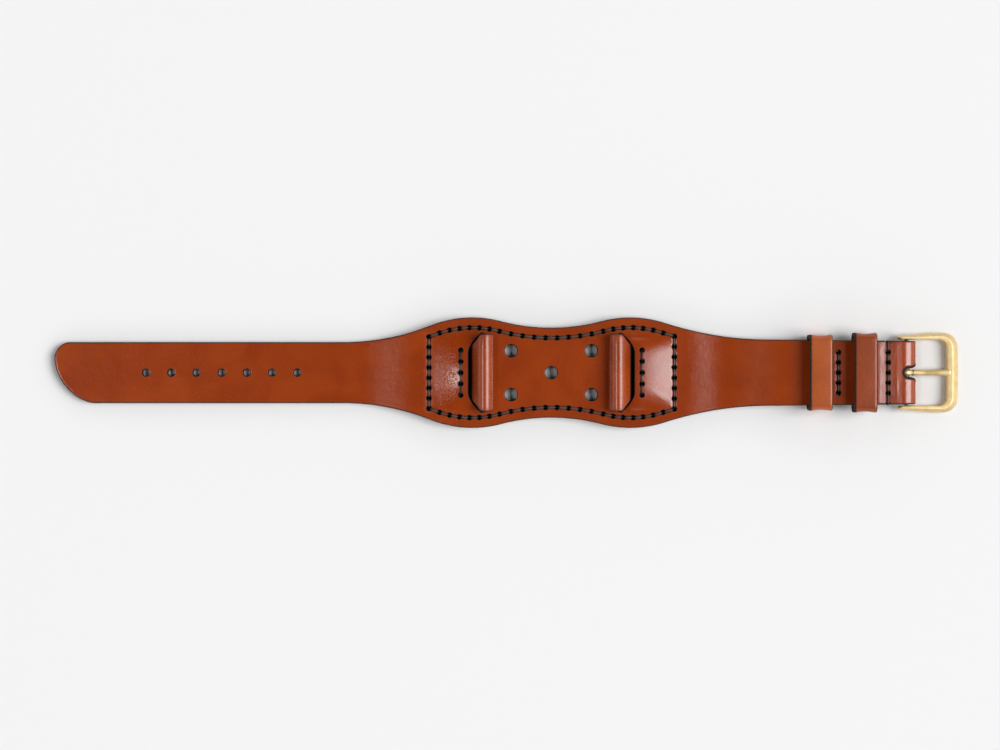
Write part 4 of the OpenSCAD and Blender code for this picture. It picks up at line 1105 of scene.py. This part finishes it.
IN_HOLE, TWIST, LIFT = 0.4, 0.31, THREAD_R + 0.02


def down_hole(hole, ahead, beside, high, low):
    """Corner points of a thread from its stitch on top down one hole: it leaves along ahead, turns an
    eighth and arrives on the side beside, so that two threads pass each other."""
    mid = TWIST * (ahead + beside) / np.sqrt(2)
    return [[*(hole + IN_HOLE * ahead), high], [*(hole + mid), high - 0.35 * (high - low)],
            [*(hole + TWIST * beside), low + 0.25 * (high - low)], [*(hole + TWIST * beside), low]]


def ring_thread(first):
    """One of the two threads round the pad: over one gap, under the next, all the way round."""
    n = len(ring_holes)
    d = unit(np.roll(ring_holes, -1, 0) - np.roll(ring_holes, 1, 0))
    normal = np.stack([-d[:, 1], d[:, 0]], 1)
    high, low = PAD_TOP - GROOVE + LIFT, UNDER_GROOVE - LIFT
    corners, sides = [], []
    for i in range(first, first + n, 2):
        a, b = i % n, (i + 1) % n
        p, q = ring_holes[a], ring_holes[b]
        over = unit(q - p)
        corners += down_hole(p, over, -normal[a], high, low)[::-1] + down_hole(q, -over, normal[b], high, low)
        sides += 2 * [[*normal[a], 0]] + 4 * [[-over[1], over[0], 0]] + 2 * [[*normal[b], 0]]
    return twisted(corners, sides, (low, high), closed=True)


def row_threads(x, pitch, high, low, wrap=None):
    """The two threads of one row, over and under by turns; with wrap both also pass round the strap's edges."""
    holes, along = row(x, pitch), np.array([0.0, 1.0])
    levels = (low - 5 if wrap is None else low, float(np.max(high)))

    def one(lead):
        side = [np.array([lead * (-1.0) ** k, 0.0]) for k in range(5)]

        def end(k, z):
            return [*(holes[k] + TWIST * side[k]), z]

        def hole(k, ahead):
            return down_hole(holes[k], ahead, side[k], high[k], low)

        c = []
        for k in (0, 2) if lead > 0 else (1, 3):
            c += hole(k, along)[::-1] + hole(k + 1, -along)
        if lead > 0 and wrap is None:
            c += [end(4, low), end(4, high[4] - 1.2)]
        elif lead > 0:
            c += hole(4, along)[::-1] + [[x, wrap, high[4]], [x, wrap, low], [x, holes[4][1] + 0.9, low]]
        elif wrap is None:
            c = [end(0, high[0] - 1.2), end(0, low)] + c + [end(4, low)]
        else:
            start = [[x, holes[0][1] - 0.9, low], [x, -wrap, low], [x, -wrap, high[0]]]
            c = start + hole(0, -along) + c + [end(4, low), end(4, low + 0.8)]
        return twisted(c, [[-1, 0, 0]] * len(c), levels)

    return [one(1), one(-1)]


mesh_piece("pad_seam", [ring_thread(0), ring_thread(1)], thread, "strap", ["pad_stitching"])
for side, name in ((-1, "left"), (1, "right")):
    x = side * LOOP_ROW_X
    high = under_z(x) + STRAP_T + swelling(x, row(x, LOOP_PITCH)[:, 1]) + LIFT
    mesh_piece(name + "_loop_seam", row_threads(x, LOOP_PITCH, high, UNDER_GROOVE - LIFT), thread, "strap",
               [name + "_loop_stitching"])
end_high, end_low = np.full(5, ROOT_Z + STRAP_T - GROOVE + LIFT), FLAP_Z + FLAP_GROOVE - THREAD_R
for name, x, wrap in (("keeper", KEEPER_ROW_X, None),
                      ("buckle", BUCKLE_ROW_X, float(half_w(BUCKLE_ROW_X)) - NOTCH + LIFT)):
    mesh_piece(name + "_seam", row_threads(x, END_PITCH, end_high, end_low, wrap), thread, "strap",
               [name + "_stitching"])


# Buckle

INNER_W, OUTER_W, REACH, ARM_BACK = 18.0, 21.8, 14.35, 2.35
FRONT_W, FRONT_T, ARM_T, CORNER_R, ARM_END_W = 3.3, 2.5, 2.3, 4.0, 1.35
TILT = np.arcsin((BAR_Z - FRONT_T / 2 - 0.03) / (REACH - FRONT_W / 2))


def bar_section():
    """Section of the frame from its inner edge (-1) to its outer (1): level on top up to a ridge, then steep.

    The corners are cut twice at a fifth of each side, which leaves them softly rounded."""
    p = np.array([[-1, -0.8], [-0.8, -1], [0.5, -1], [0.86, -0.86], [1, -0.5], [1, -0.05], [0.98, 0.08],
                  [0.93, 0.2], [0.18, 0.88], [0.11, 0.94], [0.04, 0.985], [-0.03, 1.0], [-0.82, 0.87],
                  [-0.93, 0.78], [-1, 0.55], [-1, 0.2]])
    for _ in range(2):
        q = np.roll(p, -1, 0)
        p = np.stack([0.8 * p + 0.2 * q, 0.2 * p + 0.8 * q], 1).reshape(-1, 2)
    return p


def frame_stations():
    """Inner point, outer point and half-thickness at each station, from one arm's end to the other's.

    The arm's end swells as a sine, the arm widens to the front, the corner is a quarter circle on both
    sides, and the front bar is straight with a slight bow."""
    wi, ri, xi = INNER_W / 2, CORNER_R - 1.6, REACH - FRONT_W
    mid, full, slim = wi + ARM_END_W / 2, OUTER_W / 2, wi + ARM_END_W
    t = np.radians(np.linspace(8, 90, 9))
    s = np.sin(t) ** 0.8
    x = -ARM_BACK * (0.62 + 0.38 * np.cos(t))
    parts = [(x, mid - s * ARM_END_W / 2, x, mid + s * ARM_END_W / 2, s ** 0.8 * ARM_T / 2)]
    x = np.linspace(-ARM_BACK * 0.62, xi - ri, 26)[1:]
    wide = slim + (full - slim) * np.sin(np.pi / 2 * smooth(x / (REACH - CORNER_R)))
    parts.append((x, wi, x, wide, ARM_T / 2))
    share = np.linspace(5, 90, 18) / 90
    sin, cos = np.sin(np.pi / 2 * share), np.cos(np.pi / 2 * share)
    parts.append((xi - ri + ri * sin, wi - ri + ri * cos, REACH - CORNER_R + CORNER_R * sin,
                  full - CORNER_R + CORNER_R * cos, (ARM_T + (FRONT_T - ARM_T) * share) / 2))
    y = np.linspace(1, 0, 9)[1:]
    parts.append((xi, y * (wi - ri), REACH + 0.12 * (1 - y), y * (wi - ri), FRONT_T / 2))
    upper = np.hstack([np.broadcast_arrays(*part) for part in parts]).T
    line = np.vstack([upper, (upper * (1, -1, 1, -1, 1))[-2::-1]])
    return line[:, :2], line[:, 2:4], line[:, 4]


def tilted(points):
    """Points about the bar, turned down at the front by the frame's lean, and set on the bar."""
    x, y, z = points[:, 0], points[:, 1], points[:, 2]
    return np.column_stack([BAR_X + x * np.cos(TILT) + z * np.sin(TILT), y,
                            BAR_Z - x * np.sin(TILT) + z * np.cos(TILT)])


def frame_skin():
    """The U-shaped frame: its section carried from one arm's end round the front to the other's."""
    a, b, h = frame_stations()
    sec = bar_section()
    m = (a + b)[:, None] / 2 + sec[None, :, :1] * (b - a)[:, None] / 2
    pts = np.concatenate([m, (sec[None, :, 1] * h[:, None])[..., None]], 2)
    n, k = pts.shape[:2]
    flat = np.vstack([tilted(pts.reshape(-1, 3)), tilted(pts[0].mean(0)[None]), tilted(pts[-1].mean(0)[None])])
    faces = [grid_faces(n, k, wrap_v=True)] + end_fans(n * k, k)
    return flat, faces, np.ones(len(flat)), np.zeros(len(flat))


TONGUE_W, TONGUE_T, EYE_R = 1.57, 1.2, 1.7
TONGUE_REACH = REACH - FRONT_W * 0.62


def tongue_outline():
    """Side view of the tongue: its rolled eye, the shank rising to the front bar and its blunt tip."""
    rest = FRONT_T / 2 * np.cos(TILT) + 0.05 + TONGUE_T / 2 - (REACH - FRONT_W / 2) * np.sin(TILT)
    x = np.linspace(1.55, TONGUE_REACH - 0.6, 60)
    mid = rest * smooth((x - EYE_R) / (TONGUE_REACH - 3 - EYE_R)) + 0.4 * (1 - smooth((x - 1.4) / 4.2))
    half = TONGUE_T / 2 * (0.86 + 0.14 * smooth((x - 1.6) / 2.5))
    eye = arc(0, 0, EYE_R, 24, 336, 90)
    tip = arc(TONGUE_REACH - 0.6, mid[-1], TONGUE_T / 2, -90, 90, 14)
    line = np.vstack([eye, np.stack([x, mid - half], 1)[2:-1], tip, np.stack([x, mid + half], 1)[::-1][1:-2]])
    return ccw(resampled(line, 0.14))


def tongue_width(x):
    """Half-width of the tongue: even along the shank, a little fuller at the tip, rounded at its end."""
    grow = 0.16 * smooth((x - TONGUE_REACH + 3.2) / 1.6)
    end = np.clip((x - TONGUE_REACH + 1.0) / 1.0, 0, 1)
    return (TONGUE_W / 2 + grow) * np.sqrt(1 - 0.55 * end ** 2.4)


tongue_skins = [(p + (BAR_X, 0, BAR_Z), f, near, side)
                for p, f, near, side in rolled(tongue_outline(), (0, 0, BAR_R), tongue_width, 0.56)]
mesh_piece("cast_frame", [frame_skin()], brass, "frame", ["buckle_frame"])
mesh_piece("rolled_tongue", tongue_skins, brass, "tongue", ["buckle_tongue"])

for name in ("spring_bar_tube", "spring_bar_tip_upper", "spring_bar_tip_lower", "spring_bar_spring"):
    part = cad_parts[name]
    part.data.materials.clear()
    part.data.materials.append(steel)


# Floor, light and camera

def soft_light(name, lean, away, size, power, turn=0):
    """A soft light facing the strap, leaning from the vertical towards +X or -X, turned a little about Z."""
    lamp = bpy.data.lights.new(name, "AREA")
    lamp.shape, lamp.size, lamp.size_y = "RECTANGLE", size[0], size[1]
    lamp.energy = power
    made = placed(name, lamp)
    t, a = np.radians(lean), np.radians(-turn if lean < 0 else turn)
    made.location = (away * np.sin(t) * np.cos(a), away * np.sin(t) * np.sin(a), away * np.cos(t))
    made.rotation_euler = (0, t, a)


soft_light("right_softbox", 39.5, 7.0, (4.6, 3.6), 356)
soft_light("left_softbox", -28, 3.0, (0.6, 0.6), 12.5, turn=-10)

# Room: bright round the sides, dark overhead
world = bpy.data.worlds.new("room")
bpy.context.scene.world = world
world.use_nodes = True
tree = world.node_tree
upward = parts_of(tree, vector(tree, "NORMALIZE", place(tree)))
beside = plus(tree, calc(tree, "POWER", upward["Y"], 2.0),
              calc(tree, "POWER", calc(tree, "MINIMUM", upward["X"], 0.0), 2.0))
height = plus(tree, upward["Z"], times(tree, beside, 0.45))
fill(tree, tree.nodes["Background"].inputs,
     {"Color": (1, 1, 1, 1), "Strength": remap(tree, height, 0.8, 0.93, 0.87, 0.015)})

paper, tree, skin = material("white_paper")
fill(tree, skin, {"Base Color": (0.9, 0.9, 0.9, 1), "Roughness": 0.9, "Specular IOR Level": 0.1})
FLOOR_HALF, FLOOR_Z = 6, -5e-5
ground = bpy.data.meshes.new("floor")
corners = [(x * FLOOR_HALF, y * FLOOR_HALF, FLOOR_Z) for x, y in ((-1, -1), (1, -1), (1, 1), (-1, 1))]
ground.from_pydata(corners, [], [(0, 1, 2, 3)])
ground.materials.append(paper)
floor = placed("floor", ground)

lens = bpy.data.cameras.new("camera")
lens.lens, lens.sensor_width = 100, 36
lens.clip_start, lens.clip_end = 0.01, 20
camera = placed("camera", lens)
camera.location = (-0.014, -0.00064, 0.7627)
bpy.context.scene.camera = camera
bpy.context.scene.view_settings.view_transform = "Standard"
